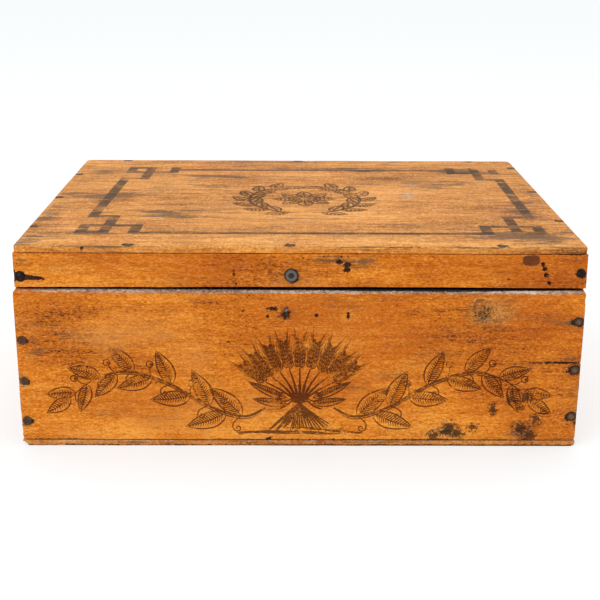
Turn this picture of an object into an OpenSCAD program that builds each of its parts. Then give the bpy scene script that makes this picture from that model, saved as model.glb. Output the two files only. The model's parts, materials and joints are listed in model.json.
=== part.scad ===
// Nailed wooden trade box with a hinged lid.
// Millimetres. The origin is the centre of the underside; +X is right, +Y is the back, +Z is up.

/* [Carcass] */
// Outside width of the box, left to right
box_w = 360; // [260:1:480]
// Outside depth of the box, front to back
box_d = 270; // [200:1:360]
// Height of the side boards above the bottom planks
side_h = 103.8; // [70:0.1:160]
// Thickness of the front, back and side boards
board_t = 8; // [6.5:0.5:14]
// Thickness of the planks nailed under the box
bottom_t = 4; // [3.5:0.5:10]
// Shrinkage gap between neighbouring bottom planks
plank_gap = 0.4; // [0.2:0.1:2]
// How far the front board has shrunk below the side boards, which shows as the dark seam
front_drop = 1.2; // [0.4:0.1:4]

/* [Lid] */
// Thickness of the board on top of the lid
lid_top_t = 4.5; // [4:0.5:9]
// Height of the four rails under the lid's top board
rail_h = 22.5; // [19:0.5:45]
// Thickness of the lid's rails
rail_t = 8; // [6.5:0.5:14]
// How far each side of the lid lies inside the side of the box
lid_inset = 1; // [0:0.1:3]
// Sideways drift of the lid to the right on its worn hinges
lid_shift = 0.4; // [-1:0.1:1]
// How far the lid's front lies behind the front of the box
lid_recess = 1; // [0:0.1:3]
// Rounding of the lid's four upright corners
lid_corner_r = 4; // [1:0.5:10]

/* [Wear] */
// Easing of the handled edges of every board
edge_r = 1.2; // [0.4:0.1:2]
// Rounding of the front board's rubbed top edge
rim_r = 2.4; // [0.5:0.1:4]

/* [Nails] */
// Diameter of a nail's shank
nail_d = 2.2; // [1.6:0.1:3]
// Diameter of a nail's flat head
nail_head_d = 5.6; // [4:0.1:6]
// Thickness of a nail's head
nail_head_t = 0.9; // [0.6:0.1:1.5]
// Depth that the heads are driven below the wood
nail_set = 0.3; // [0.1:0.1:1]
// Length of the nails that join the corners
corner_nail_l = 28; // [20:1:40]
// Length of the nails that hold the bottom planks
bottom_nail_l = 18; // [12:1:24]
// Free room between a nail or screw and its hole, all round
nail_fit = 0.05; // [0.02:0.01:0.1]

/* [Hinges] */
// Length of a hinge along its pin
hinge_l = 40; // [30:1:60]
// Distance from the side of the box to the middle of a hinge
hinge_inset = 62; // [50:1:90]
// Reach of a leaf from the pin to its far edge
leaf_w = 17; // [14:0.5:18]
// Thickness of a leaf
leaf_t = 1.2; // [0.8:0.1:1.6]
// Diameter of the hinge pin
pin_d = 2.4; // [1.6:0.1:3]
// Outside diameter of the rolled knuckles
knuckle_d = 5.2; // [5:0.1:7]
// Knuckles along one hinge, an odd number
knuckles = 5; // [3:2:7]
// Running room between the moving parts of a hinge
hinge_gap = 0.3; // [0.2:0.05:0.5]
// Running room between the pin and the knuckles, all round
pin_fit = 0.05; // [0.02:0.01:0.1]
// Diameter of a hinge screw's shank
screw_d = 2.4; // [1.8:0.1:3]
// Diameter of a hinge screw's head
screw_head_d = 4.6; // [3.5:0.1:5]
// Height of a hinge screw's round head above the leaf
screw_head_h = 0.9; // [0.5:0.1:1]
// Depth that a hinge screw goes into the wood
screw_bite = 5.5; // [3:0.5:6]

/* [Catch] */
// Distance of the catch pin to the left of the middle of the lid
catch_x = 6; // [-20:0.5:20]
// Height of the catch pin above the seam
catch_h = 8.5; // [6:0.5:10]
// Outside diameter of the domed rosette round the catch pin
rosette_d = 8.8; // [7:0.1:12]
// Height of the rosette's ring
rosette_h = 1.7; // [1:0.1:3]
// Diameter of the catch pin
catch_d = 2.4; // [1.8:0.1:3]
// Distance of the staple to the left of the middle of the box
staple_x = 8.5; // [-20:0.5:20]
// Depth of the staple's middle below the top of the front board
staple_drop = 14; // [9:0.5:30]
// Distance between the staple's two legs
staple_span = 5.2; // [4:0.1:10]
// Diameter of the staple's wire
staple_wire = 1.7; // [1:0.1:2]
// Depth that the staple's legs go into the wood
staple_bite = 5.5; // [3:0.5:6]

/* [Hidden] */
$fn = 48;
past = 1;

// Colours as the object shows them
honey_wood = "#d07f2c";
lid_wood = "#d3924f";
raw_wood = "#c9a06b";
dark_iron = "#3a3431";
hinge_iron = "#4a4442";
worn_steel = "#7d838a";

// The carcass
left = -box_w / 2;
right = box_w / 2;
front = -box_d / 2;
back = box_d / 2;
seam_z = bottom_t + side_h;
front_h = side_h - front_drop;
side_l = box_d - 2 * board_t;
plank_w = (box_d - 2 * plank_gap) / 3;

// The lid
lid_left = left + lid_inset + lid_shift;
lid_right = right - lid_inset + lid_shift;
lid_front = front + lid_recess;
lid_w = lid_right - lid_left;
lid_d = back - lid_front;
lid_rail_l = lid_d - 2 * rail_t;
lid_under_z = seam_z + rail_h;
lid_z = lid_under_z + lid_top_t;

// The nails, with their places given as shares of the length of the board that they hold
left_corner_nails = [0.13, 0.40, 0.67];
right_corner_nails = [0.166, 0.48, 0.80];
lid_corner_nails = [0.32, 0.45];
lid_front_row = [0.20, 0.48, 0.85];
lid_left_row = [0.18, 0.486, 0.778];
lid_right_row = [0.246, 0.57, 0.888];
plank_front_row = [0.09, 0.37, 0.64, 0.92];
outer_plank_nails = [0.62];
middle_plank_nails = [0.25, 0.75];
nail_point = 1.6 * nail_d;
nail_tip_room = 1.3;
lid_nail_l = lid_top_t + rail_h - catch_h - catch_d / 2 - nail_tip_room;

// The hinges
hinge_x = box_w / 2 - hinge_inset;
knuckle_r = knuckle_d / 2;
axis_y = back + knuckle_r + hinge_gap;
knuckle_pitch = hinge_l / knuckles;
leaf_corner_r = 2;
screw_columns = [-0.34, 0, 0.34];
screw_rows = [0.76, 0.52, 0.76];
screw_slot = 0.7;
screw_slot_depth = 0.45;
pin_head_h = 0.6;
outer_nail_x = hinge_x + hinge_l / 2 + nail_head_d;

// The catch
catch_z = seam_z + catch_h;
rosette_tube = rosette_h;
rosette_ring_r = rosette_d / 2 - rosette_tube;
rosette_web = 0.8;
catch_mid_x = lid_left + lid_w / 2 - catch_x;
catch_bite = rail_t - 1;
staple_z = bottom_t + front_h - staple_drop;

// A rectangle from the origin whose corners are true arcs.
// The radii run anticlockwise from the corner at the origin; a radius of 0 leaves a corner sharp.
module eased_rect(w, h, radii) {
    corners = [[0, 0], [w, 0], [w, h], [0, h]];
    inward = [[1, 1], [-1, 1], [-1, -1], [1, -1]];
    difference() {
        square([w, h]);
        for (i = [0:3]) {
            r = min(radii[i], w / 2, h / 2);
            if (r > 0)
                translate(corners[i]) scale_corner(inward[i]) difference() {
                    translate([-past, -past]) square(r + past);
                    translate([r, r]) circle(r);
                }
        }
    }
}

// Turns a shape drawn in the first quadrant to face the given way.
module scale_corner(way) {
    mirror([way[0] < 0 ? 1 : 0, 0]) mirror([0, way[1] < 0 ? 1 : 0]) children();
}

// A board with its length along X, from the origin, with its long edges eased and its ends softened.
// The edges run: outer lower, inner lower, inner upper, outer upper, where outer is the low Y side.
module board(l, t, h, edges, end_r) {
    intersection() {
        rotate([90, 0, 90]) linear_extrude(l) eased_rect(t, h, edges);
        translate([0, t + past, 0]) rotate([90, 0, 0])
            linear_extrude(t + 2 * past) eased_rect(l, h, [end_r, end_r, end_r, end_r]);
    }
}

// A wire nail with its axis on Z, the top of its head at 0 and its point below.
module nail(l) {
    chamfer = nail_head_t / 3;
    color(dark_iron) rotate_extrude() polygon([
        [0, 0], [nail_head_d / 2 - chamfer, 0], [nail_head_d / 2, -chamfer],
        [nail_head_d / 2, -nail_head_t], [nail_d / 2, -nail_head_t],
        [nail_d / 2, nail_point - l], [0, -l]
    ]);
}

// The hole that a nail of that length leaves, open above its sunk head.
module nail_hole(l) {
    rotate_extrude() polygon([
        [0, nail_set + past], [nail_head_d / 2 + nail_fit, nail_set + past],
        [nail_head_d / 2 + nail_fit, -nail_head_t], [nail_d / 2 + nail_fit, -nail_head_t],
        [nail_d / 2 + nail_fit, nail_point - l], [0, -l - nail_fit]
    ]);
}

// Places of the nails. Each child stands with its Z axis out of the wood and its head sunk.
module at_corner_nails(face_y, turn) {
    sunk_y = face_y - sign(face_y) * nail_set;
    for (share = left_corner_nails)
        translate([left + board_t / 2, sunk_y, bottom_t + share * front_h])
            rotate([turn, 0, 0]) children();
    for (share = right_corner_nails)
        translate([right - board_t / 2, sunk_y, bottom_t + share * front_h])
            rotate([turn, 0, 0]) children();
}

module at_lid_corner_nails(face_y, turn) {
    sunk_y = face_y - sign(face_y) * nail_set;
    places = [lid_left + rail_t / 2, lid_right - rail_t / 2];
    for (i = [0, 1])
        translate([places[i], sunk_y, seam_z + lid_corner_nails[i] * rail_h])
            rotate([turn, 0, 0]) children();
}

module at_bottom_nails() {
    for (share = plank_front_row, y = [front + board_t / 2, back - board_t / 2])
        translate([left + share * box_w, y, nail_set]) rotate([180, 0, 0]) children();
    for (x = [left + board_t / 2, right - board_t / 2]) {
        for (share = outer_plank_nails, y = [front + share * plank_w, back - share * plank_w])
            translate([x, y, nail_set]) rotate([180, 0, 0]) children();
        for (share = middle_plank_nails)
            translate([x, (share - 0.5) * plank_w, nail_set]) rotate([180, 0, 0]) children();
    }
}

module at_lid_top_nails() {
    z = lid_z - nail_set;
    for (share = lid_front_row)
        translate([lid_left + share * lid_w, lid_front + rail_t / 2, z]) children();
    for (share = lid_left_row)
        translate([lid_left + rail_t / 2, lid_front + share * lid_d, z]) children();
    for (share = lid_right_row)
        translate([lid_right - rail_t / 2, lid_front + share * lid_d, z]) children();
    for (x = [-outer_nail_x, 0, outer_nail_x])
        translate([x, back - rail_t / 2, z]) children();
}

// Places of one leaf's screws on both hinges: up is 1 for the lid's leaf and -1 for the box's.
module at_hinge_screws(up) {
    for (side = [-1, 1], i = [0:len(screw_columns) - 1]) {
        x = side * hinge_x + screw_columns[i] * hinge_l;
        z = seam_z + up * screw_rows[i] * leaf_w;
        translate([x, back + leaf_t, z]) rotate([-90, 0, 0]) children();
    }
}

// The carcass
module front_board() {
    color(honey_wood) difference() {
        translate([left, front, bottom_t])
            board(box_w, board_t, front_h, [edge_r / 2, 0, edge_r / 2, rim_r], edge_r);
        at_corner_nails(front, 90) nail_hole(corner_nail_l);
        at_bottom_nails() nail_hole(bottom_nail_l);
        staple_at() staple_holes();
    }
}

module back_board() {
    color(honey_wood) difference() {
        translate([right, back, bottom_t]) rotate([0, 0, 180])
            board(box_w, board_t, side_h, [edge_r / 2, 0, edge_r / 2, edge_r], edge_r);
        at_corner_nails(back, -90) nail_hole(corner_nail_l);
        at_bottom_nails() nail_hole(bottom_nail_l);
        at_hinge_screws(-1) screw_hole();
    }
}

module side_board(side) {
    color(honey_wood) difference() {
        translate([side * box_w / 2, -side * side_l / 2, bottom_t]) rotate([0, 0, side * 90])
            board(side_l, board_t, side_h, [edge_r / 2, 0, edge_r / 2, edge_r], 0);
        at_corner_nails(front, 90) nail_hole(corner_nail_l);
        at_corner_nails(back, -90) nail_hole(corner_nail_l);
        at_bottom_nails() nail_hole(bottom_nail_l);
    }
}

// The planks are numbered from the front; only the outer edges of the first and last are eased.
module bottom_plank(number) {
    front_r = number == 0 ? edge_r : 0;
    rear_r = number == 2 ? edge_r : 0;
    color(raw_wood) difference() {
        translate([left, front + number * (plank_w + plank_gap), 0])
            board(box_w, plank_w, bottom_t, [front_r, rear_r, 0, 0], edge_r / 2);
        at_bottom_nails() nail_hole(bottom_nail_l);
    }
}

// The lid
module lid_top() {
    color(lid_wood) difference() {
        intersection() {
            translate([lid_left, lid_front, lid_under_z])
                board(lid_w, lid_d, lid_top_t, [edge_r, edge_r, edge_r, edge_r], edge_r);
            translate([lid_left, lid_front, lid_under_z]) linear_extrude(lid_top_t)
                eased_rect(lid_w, lid_d, [for (i = [0:3]) lid_corner_r]);
        }
        at_lid_top_nails() nail_hole(lid_nail_l);
    }
}

module lid_front_rail() {
    color(honey_wood) difference() {
        translate([lid_left, lid_front, seam_z])
            board(lid_w, rail_t, rail_h, [edge_r, edge_r / 2, 0, 0], edge_r / 2);
        at_lid_corner_nails(lid_front, 90) nail_hole(corner_nail_l);
        at_lid_top_nails() nail_hole(lid_nail_l);
        catch_at() catch_hole();
    }
}

module lid_back_rail() {
    color(honey_wood) difference() {
        translate([lid_right, back, seam_z]) rotate([0, 0, 180])
            board(lid_w, rail_t, rail_h, [edge_r, edge_r / 2, 0, 0], edge_r / 2);
        at_lid_corner_nails(back, -90) nail_hole(corner_nail_l);
        at_lid_top_nails() nail_hole(lid_nail_l);
        at_hinge_screws(1) screw_hole();
    }
}

module lid_side_rail(side) {
    outer_x = side < 0 ? lid_left : lid_right;
    middle_y = (lid_front + back) / 2;
    color(honey_wood) difference() {
        translate([outer_x, middle_y - side * lid_rail_l / 2, seam_z]) rotate([0, 0, side * 90])
            board(lid_rail_l, rail_t, rail_h, [edge_r, edge_r / 2, 0, 0], 0);
        at_lid_corner_nails(lid_front, 90) nail_hole(corner_nail_l);
        at_lid_corner_nails(back, -90) nail_hole(corner_nail_l);
        at_lid_top_nails() nail_hole(lid_nail_l);
    }
}

// One leaf of a hinge, drawn about its pin with the plate hanging below it on the wood's side.
// The leaf carries every second knuckle, starting from the given one.
module leaf(first_knuckle) {
    plate_top = -knuckle_r - hinge_gap;
    plate_y = -knuckle_r - hinge_gap;
    difference() {
        union() {
            translate([-hinge_l / 2, plate_y + leaf_t, -leaf_w]) rotate([90, 0, 0]) linear_extrude(leaf_t)
                eased_rect(hinge_l, leaf_w + plate_top, [leaf_corner_r, leaf_corner_r, 0, 0]);
            for (i = [first_knuckle:2:knuckles - 1]) {
                gap_low = i == 0 ? 0 : hinge_gap / 2;
                gap_high = i == knuckles - 1 ? 0 : hinge_gap / 2;
                l = knuckle_pitch - gap_low - gap_high;
                translate([-hinge_l / 2 + i * knuckle_pitch + gap_low, 0, 0]) {
                    rotate([0, 90, 0]) cylinder(r = knuckle_r, h = l);
                    translate([0, plate_y, plate_top]) cube([l, leaf_t, -plate_top]);
                }
            }
        }
        translate([-hinge_l / 2 - past, 0, 0]) rotate([0, 90, 0])
            cylinder(r = pin_d / 2 + pin_fit, h = hinge_l + 2 * past);
    }
}

module hinge_box_leaf(side) {
    color(hinge_iron) difference() {
        translate([side * hinge_x, axis_y, seam_z]) leaf(0);
        at_hinge_screws(-1) screw_hole();
    }
}

module hinge_lid_leaf(side) {
    color(hinge_iron) difference() {
        translate([side * hinge_x, axis_y, seam_z]) mirror([0, 0, 1]) leaf(1);
        at_hinge_screws(1) screw_hole();
    }
}

// The pin has a shallow peened head at each end that keeps it in the outer knuckles.
module hinge_pin(side) {
    head_r = (pin_d / 2 + knuckle_r) / 2;
    half_l = hinge_l / 2;
    color(hinge_iron) translate([side * hinge_x, axis_y, seam_z]) rotate([0, 90, 0]) rotate_extrude()
        polygon([
            [0, -half_l - pin_head_h], [pin_d / 2, -half_l - pin_head_h],
            [head_r, -half_l], [pin_d / 2, -half_l],
            [pin_d / 2, half_l], [head_r, half_l],
            [pin_d / 2, half_l + pin_head_h], [0, half_l + pin_head_h]
        ]);
}

// A round-headed slotted screw with its axis on Z and the underside of its head at 0.
module hinge_screw() {
    tip = -leaf_t - screw_bite;
    dome_r = (pow(screw_head_d / 2, 2) + pow(screw_head_h, 2)) / (2 * screw_head_h);
    color(hinge_iron) difference() {
        union() {
            intersection() {
                translate([0, 0, screw_head_h - dome_r]) sphere(dome_r);
                cylinder(d = screw_head_d, h = screw_head_h);
            }
            rotate_extrude() polygon([[0, 0], [screw_d / 2, 0], [screw_d / 2, tip + screw_d], [0, tip]]);
        }
        translate([-screw_head_d, -screw_slot / 2, screw_head_h - screw_slot_depth])
            cube([2 * screw_head_d, screw_slot, screw_head_h]);
    }
}

module screw_hole() {
    r = screw_d / 2 + nail_fit;
    tip = -leaf_t - screw_bite - nail_fit;
    rotate_extrude() polygon([[0, past], [r, past], [r, tip + screw_d], [0, tip]]);
}

// The catch: a domed rosette on a pin in the lid, and a wire staple in the front board.
module catch_at() {
    translate([catch_mid_x, lid_front, catch_z]) rotate([90, 0, 0]) children();
}

module catch_rosette() {
    inner_r = catch_d / 2 + nail_fit;
    color(worn_steel) catch_at() rotate_extrude() {
        intersection() {
            translate([rosette_ring_r, 0]) circle(rosette_tube);
            translate([inner_r, 0]) square([rosette_d, rosette_h]);
        }
        translate([inner_r, 0]) square([rosette_ring_r - inner_r, rosette_web]);
    }
}

module catch_pin() {
    stub = (rosette_web + rosette_h) / 2;
    color(dark_iron) catch_at() rotate_extrude() polygon([
        [0, stub], [catch_d / 2, stub], [catch_d / 2, catch_d - catch_bite], [0, -catch_bite]
    ]);
}

module catch_hole() {
    r = catch_d / 2 + nail_fit;
    rotate_extrude() polygon([
        [0, past], [r, past], [r, catch_d - catch_bite], [0, -catch_bite - nail_fit]
    ]);
}

// The staple stands upright, with its legs along -Z and its bow bulging along +Z.
module staple_at() {
    translate([-staple_x, front, staple_z]) rotate([90, 0, 0]) children();
}

module staple_leg(r, l) {
    rotate_extrude() polygon([[0, 0], [r, 0], [r, staple_wire - l], [0, -l]]);
}

module catch_staple() {
    color(dark_iron) staple_at() {
        for (end = [-1, 1])
            translate([0, end * staple_span / 2, 0]) staple_leg(staple_wire / 2, staple_bite);
        rotate([0, -90, 0]) rotate([0, 0, -90]) rotate_extrude(angle = 180)
            translate([staple_span / 2, 0]) circle(d = staple_wire);
    }
}

module staple_holes() {
    for (end = [-1, 1])
        translate([0, end * staple_span / 2, 0]) {
            staple_leg(staple_wire / 2 + nail_fit, staple_bite + nail_fit);
            cylinder(r = staple_wire / 2 + nail_fit, h = past);
        }
}

front_board();
back_board();
side_board(-1);  // left_side_board
side_board(1);  // right_side_board
bottom_plank(0);  // bottom_plank_front
bottom_plank(1);  // bottom_plank_middle
bottom_plank(2);  // bottom_plank_rear
lid_top();
lid_front_rail();
lid_back_rail();
lid_side_rail(-1);  // lid_left_rail
lid_side_rail(1);  // lid_right_rail
at_corner_nails(front, 90) nail(corner_nail_l);  // front_board_nails
at_corner_nails(back, -90) nail(corner_nail_l);  // back_board_nails
at_bottom_nails() nail(bottom_nail_l);  // bottom_nails
at_lid_top_nails() nail(lid_nail_l);  // lid_top_nails
at_lid_corner_nails(lid_front, 90) nail(corner_nail_l);  // lid_front_rail_nails
at_lid_corner_nails(back, -90) nail(corner_nail_l);  // lid_back_rail_nails
hinge_box_leaf(-1);  // left_hinge_box_leaf
hinge_lid_leaf(-1);  // left_hinge_lid_leaf
hinge_pin(-1);  // left_hinge_pin
hinge_box_leaf(1);  // right_hinge_box_leaf
hinge_lid_leaf(1);  // right_hinge_lid_leaf
hinge_pin(1);  // right_hinge_pin
at_hinge_screws(-1) hinge_screw();  // hinge_box_screws
at_hinge_screws(1) hinge_screw();  // hinge_lid_screws
catch_rosette();
catch_pin();
catch_staple();
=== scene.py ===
# %% [markdown]
# # A nailed wooden trade box with a hinged lid
# The solids of the box come ready made, in metres, with their joints. This lesson gives them the looks of
# an old shop box: rubbed boards, dark nails, a faded printed ornament and dull iron. Every new board lies
# where the solid lies that it stands for, and the print lies on the boards.

# %% Load the frame
import json
import math

import bmesh
import bpy
import numpy as np
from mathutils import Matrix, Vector


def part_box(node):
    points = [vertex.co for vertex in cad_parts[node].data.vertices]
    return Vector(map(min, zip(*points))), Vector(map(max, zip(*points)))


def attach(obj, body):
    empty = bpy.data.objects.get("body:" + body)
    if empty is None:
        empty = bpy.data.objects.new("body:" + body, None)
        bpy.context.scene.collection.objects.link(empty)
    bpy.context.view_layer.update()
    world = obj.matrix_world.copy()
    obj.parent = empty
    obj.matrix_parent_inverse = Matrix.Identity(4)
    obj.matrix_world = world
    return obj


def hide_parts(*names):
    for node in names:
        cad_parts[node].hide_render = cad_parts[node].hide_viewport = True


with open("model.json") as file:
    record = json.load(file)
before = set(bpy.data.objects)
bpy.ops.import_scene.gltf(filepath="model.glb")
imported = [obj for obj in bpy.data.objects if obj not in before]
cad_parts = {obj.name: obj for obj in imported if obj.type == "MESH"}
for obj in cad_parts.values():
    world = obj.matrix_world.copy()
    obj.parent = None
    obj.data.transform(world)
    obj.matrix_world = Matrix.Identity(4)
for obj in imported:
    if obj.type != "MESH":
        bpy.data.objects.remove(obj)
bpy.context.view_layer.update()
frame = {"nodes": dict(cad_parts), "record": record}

MM = 0.001

# %% [markdown]
# ## The camera
# The photograph looks down at the front from a little above the lid, through a slightly long lens. A camera
# could be set by eye, but then no length in the picture could be trusted. So its place, its turn and its
# lens were worked out from the corners of the lid and of the front. The small shift lifts the middle of the
# lens above the middle of the picture, as a view camera does to keep upright edges nearly upright. The
# focal length and the shift are in pixels.

# %% Camera
PICTURE = 600
SENSOR = 36
FOCAL = 1119.9
SHIFT = -36.7
bpy.ops.object.select_all(action="DESELECT")
bpy.ops.object.camera_add(
    location=(-6.4 * MM, -800.1 * MM, 324.2 * MM),
    rotation=[math.radians(a) for a in (73.280, -0.320, -0.431)],
)
camera = bpy.context.object
camera.data.sensor_width = SENSOR
camera.data.lens = SENSOR * FOCAL / PICTURE
camera.data.shift_y = SHIFT / PICTURE
camera.data.clip_start = 0.05
bpy.context.scene.camera = camera
print("lens (mm):", round(camera.data.lens, 1))

# %% [markdown]
# ## The studio
# The box stands on a white sweep under broad soft light, so there is hardly a shadow. A pale world lights
# it from all sides, one large lamp at the upper left gives the boards their shape, and a second one
# overhead lifts the lid. The sweep shines a little by itself, as if lit from below, so it takes on hardly
# any colour from the box. The plain view transform keeps the colours as they are mixed.

# %% World and floor
WHITE = (1, 1, 1, 1)
bpy.context.scene.view_settings.view_transform = "Standard"
bpy.context.scene.view_settings.look = "None"
world = bpy.data.worlds.new("pale_studio")
bpy.context.scene.world = world
world.use_nodes = True
world.node_tree.nodes["Background"].inputs["Color"].default_value = WHITE
world.node_tree.nodes["Background"].inputs["Strength"].default_value = 1.0

bpy.ops.object.select_all(action="DESELECT")
bpy.ops.mesh.primitive_plane_add(size=60, location=(0, 0, 0))
floor = bpy.context.object
floor.name = "floor"
sweep = bpy.data.materials.new("white_sweep")
sweep.use_nodes = True
sweep_inputs = sweep.node_tree.nodes["Principled BSDF"].inputs
sweep_inputs["Base Color"].default_value = (0.385, 0.405, 0.412, 1)
sweep_inputs["Roughness"].default_value = 0.9
sweep_inputs["Specular IOR Level"].default_value = 0.0
sweep_inputs["Emission Color"].default_value = WHITE
sweep_inputs["Emission Strength"].default_value = 0.56
floor.data.materials.append(sweep)
print("floor (m across):", round(floor.dimensions.x))

# %% Lamps
LAMP_AIM = Vector((0, 0, 0.06))


def soft_lamp(name, place, size, watts):
    """A large square lamp that faces the box."""
    bpy.ops.object.light_add(type="AREA", location=place)
    lamp = bpy.context.object
    lamp.name = name
    lamp.data.size = size
    lamp.data.energy = watts
    lamp.rotation_euler = (LAMP_AIM - Vector(place)).to_track_quat("-Z", "Y").to_euler()


soft_lamp("upper_left_softbox", (-1.0, -1.2, 1.7), 1.2, 12)
soft_lamp("overhead_softbox", (0.3, 0.3, 2.0), 1.5, 8)

# %% [markdown]
# ## Shader sums in Python
# A finish is a web of small sums, which could be wired by hand, node by node. To keep them readable, a
# value is wrapped so that `a + b` or `1 - mask` adds the Math node for it, and every other node comes from
# one method that takes its kind, its settings and its sockets.


# %% A value
class Val:
    """A socket that takes part in Python sums."""

    def __init__(self, finish, socket):
        self.finish = finish
        self.socket = socket

    def math(self, operation, *others):
        return self.finish.node("Math", {"operation": operation}, [self, *others])

    def __add__(self, other):
        return self.math("ADD", other)

    def __sub__(self, other):
        return self.math("SUBTRACT", other)

    def __rsub__(self, other):
        return self.finish.node("Math", {"operation": "SUBTRACT"}, [other, self])

    def __mul__(self, other):
        return self.math("MULTIPLY", other)

    def __truediv__(self, other):
        return self.math("DIVIDE", other)

    def __pow__(self, other):
        return self.math("POWER", other)

    def __abs__(self):
        return self.math("ABSOLUTE")

    __radd__ = __add__
    __rmul__ = __mul__


print("a value takes part in + - * / ** and abs")


# %% A finish
class Finish:
    """A material, its surface shader and the nodes that feed it."""

    def __init__(self, name):
        self.material = bpy.data.materials.new(name)
        self.material.use_nodes = True
        self.tree = self.material.node_tree
        self.shader = self.tree.nodes["Principled BSDF"]
        self.place = self.node("TexCoord", out="Object")
        self.x, self.y, self.z = [self.node("SeparateXYZ", sockets=[self.place], out=i) for i in range(3)]

    def node(self, kind, settings=None, sockets=(), out=0):
        """Adds any node: its kind, its settings, what its sockets get, and which of its outputs is wanted."""
        made = self.tree.nodes.new("ShaderNode" + kind)
        for key, value in (settings or {}).items():
            if key == "stops":
                while len(made.color_ramp.elements) < len(value):
                    made.color_ramp.elements.new(0.5)
                for element, (place, colour) in zip(made.color_ramp.elements, value):
                    element.position = place
                    element.color = colour
            else:
                setattr(made, key, value)
        pairs = sockets.items() if isinstance(sockets, dict) else enumerate(sockets)
        for key, value in pairs:
            self.feed(made.inputs[key], value)
        return Val(self, made.outputs[out])

    def feed(self, socket, value):
        """Links a value to a socket, or sets the socket where it is a plain number or colour."""
        if isinstance(value, Val):
            self.tree.links.new(value.socket, socket)
        else:
            socket.default_value = value

    def vector(self, a, b, c):
        return self.node("CombineXYZ", sockets=[a, b, c])

    def noise(self, at, scale=1, detail=2, roughness=0.5, distortion=0):
        return self.node(
            "TexNoise",
            sockets={
                "Vector": at,
                "Scale": scale,
                "Detail": detail,
                "Roughness": roughness,
                "Distortion": distortion,
            },
        )

    def ramp(self, amount, stops):
        """A colour that runs through the given stops, each a place from 0 to 1 and a tone."""
        return self.node("ValToRGB", {"stops": stops}, [amount])

    def smooth(self, value, low, high):
        """0 below low, 1 above high, or the other way round where low is the larger."""
        return self.node("MapRange", {"interpolation_type": "SMOOTHSTEP"}, [value, low, high])

    def mix(self, amount, under, over, way="MIX"):
        return self.node(
            "Mix", {"data_type": "RGBA", "blend_type": way}, {0: amount, 6: under, 7: over}, out=2
        )

    def attribute(self, name):
        return self.node("Attribute", {"attribute_name": name}, out="Fac")

    def paint(self, colour, roughness, height, depth):
        """Feeds the shader. The height runs from about 0 to 1, and the depth is its size in metres."""
        self.feed(self.shader.inputs["Base Color"], colour)
        self.feed(self.shader.inputs["Roughness"], roughness)
        bump = self.node("Bump", sockets={"Strength": 1.0, "Distance": depth, "Height": height})
        self.feed(self.shader.inputs["Normal"], bump)
        return self.material


print("a finish gives:", [name for name in vars(Finish) if not name.startswith("__")])


# %% The least of several values, and a tone
def least(values):
    """The smallest of several values."""
    nearest = values[0]
    for other in values[1:]:
        nearest = nearest.math("MINIMUM", other)
    return nearest


def tone(red, green, blue):
    """A colour as a paint chart gives it, 0 to 255, turned into the amounts of light that a shader takes."""
    return tuple(
        ((v / 255 + 0.055) / 1.055) ** 2.4 if v > 10 else v / 255 / 12.92 for v in (red, green, blue)
    ) + (1,)


print("orange wood as light:", [round(v, 3) for v in tone(209, 118, 34)])

# %% [markdown]
# ## The grain of old softwood
# Wood shows several things at once: soft bands of colour, streaks along the grain, fine fibres, thin rings,
# short dark pores and a fine speckle. A picture of wood could be wrapped round each board, but it would
# break at every edge. Here each of them is a noise in space that is stretched along the grain, so it runs
# on over the edges and into the chips, and their sum is a brightness. The axes of the grain are handed in,
# so one recipe serves boards in any direction.


# %% The grain
def grain(f, along, across, through, seed, bold):
    """Grain in its own axes. Gives the brightness, about 0 to 1, a height for the bump and a fine dust."""

    def stretched(fine, stretch, shift=0.0):
        return f.vector(along * (fine / stretch) + (seed + shift), across * fine, through * fine)

    bands = f.noise(stretched(30, 7), detail=3)
    streaks = f.noise(stretched(230, 12, 2.3), detail=4, roughness=0.62)
    fibres = f.noise(stretched(950, 18, 1.7), detail=2)
    figure = f.noise(stretched(9, 3, 3.1), detail=1, distortion=0.4)
    rings = f.smooth((figure * 210).math("SINE"), 0.5, 1.0) * f.smooth(bands, 0.42, 0.6)
    speckle = f.noise(stretched(820, 2.6, 5.3), detail=3, roughness=0.72)
    mottle = f.noise(f.vector(along * 15 + seed, across * 27, through * 27), detail=5, roughness=0.6)
    pores = f.smooth(f.noise(stretched(800, 8, 9.2), detail=1), 0.68, 0.78)
    specks = f.smooth(f.noise(stretched(240, 1.2, 4.4), detail=2), 0.7, 0.77)
    dust = f.noise(stretched(1250, 2.0, 6.1), detail=2, roughness=0.6)
    bright = (
        0.52
        + (bands - 0.5) * (0.6 * bold)
        + (streaks - 0.5) * (0.75 * bold)
        + (fibres - 0.5) * 0.45
        - rings * 0.06
        + (speckle - 0.5) * 1.1
        + (mottle - 0.5) * 1.05
        + (dust - 0.5) * 1.0
        - pores * 0.14
        - specks * 0.4
    )
    return bright, fibres * 0.4 + speckle * 0.5 + streaks * 0.5 - pores, dust


def scratches(f, u, v, angle, seed):
    """Thin pale lines that cross the grain at an angle."""
    turn = math.radians(angle)
    run = u * math.cos(turn) + v * math.sin(turn)
    side = v * math.cos(turn) - u * math.sin(turn)
    lines = f.smooth(f.noise(f.vector(run * 16 + seed, side * 800, seed), detail=1), 0.69, 0.76)
    patches = f.smooth(f.noise(f.vector(u * 26, v * 26, seed + 4.0), detail=2), 0.46, 0.6)
    return lines * patches


print("grain recipe ready")

# %% [markdown]
# ## Tones of the boards
# The front and the rails keep their orange varnish, the lid has been bleached to a paler tan, and the
# inside was never varnished. One colour made lighter and darker would look like plastic, because the dark
# grain of varnished wood is also redder. So ramps of tones, from dark to light, turn the brightness of the
# grain into colour.

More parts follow.
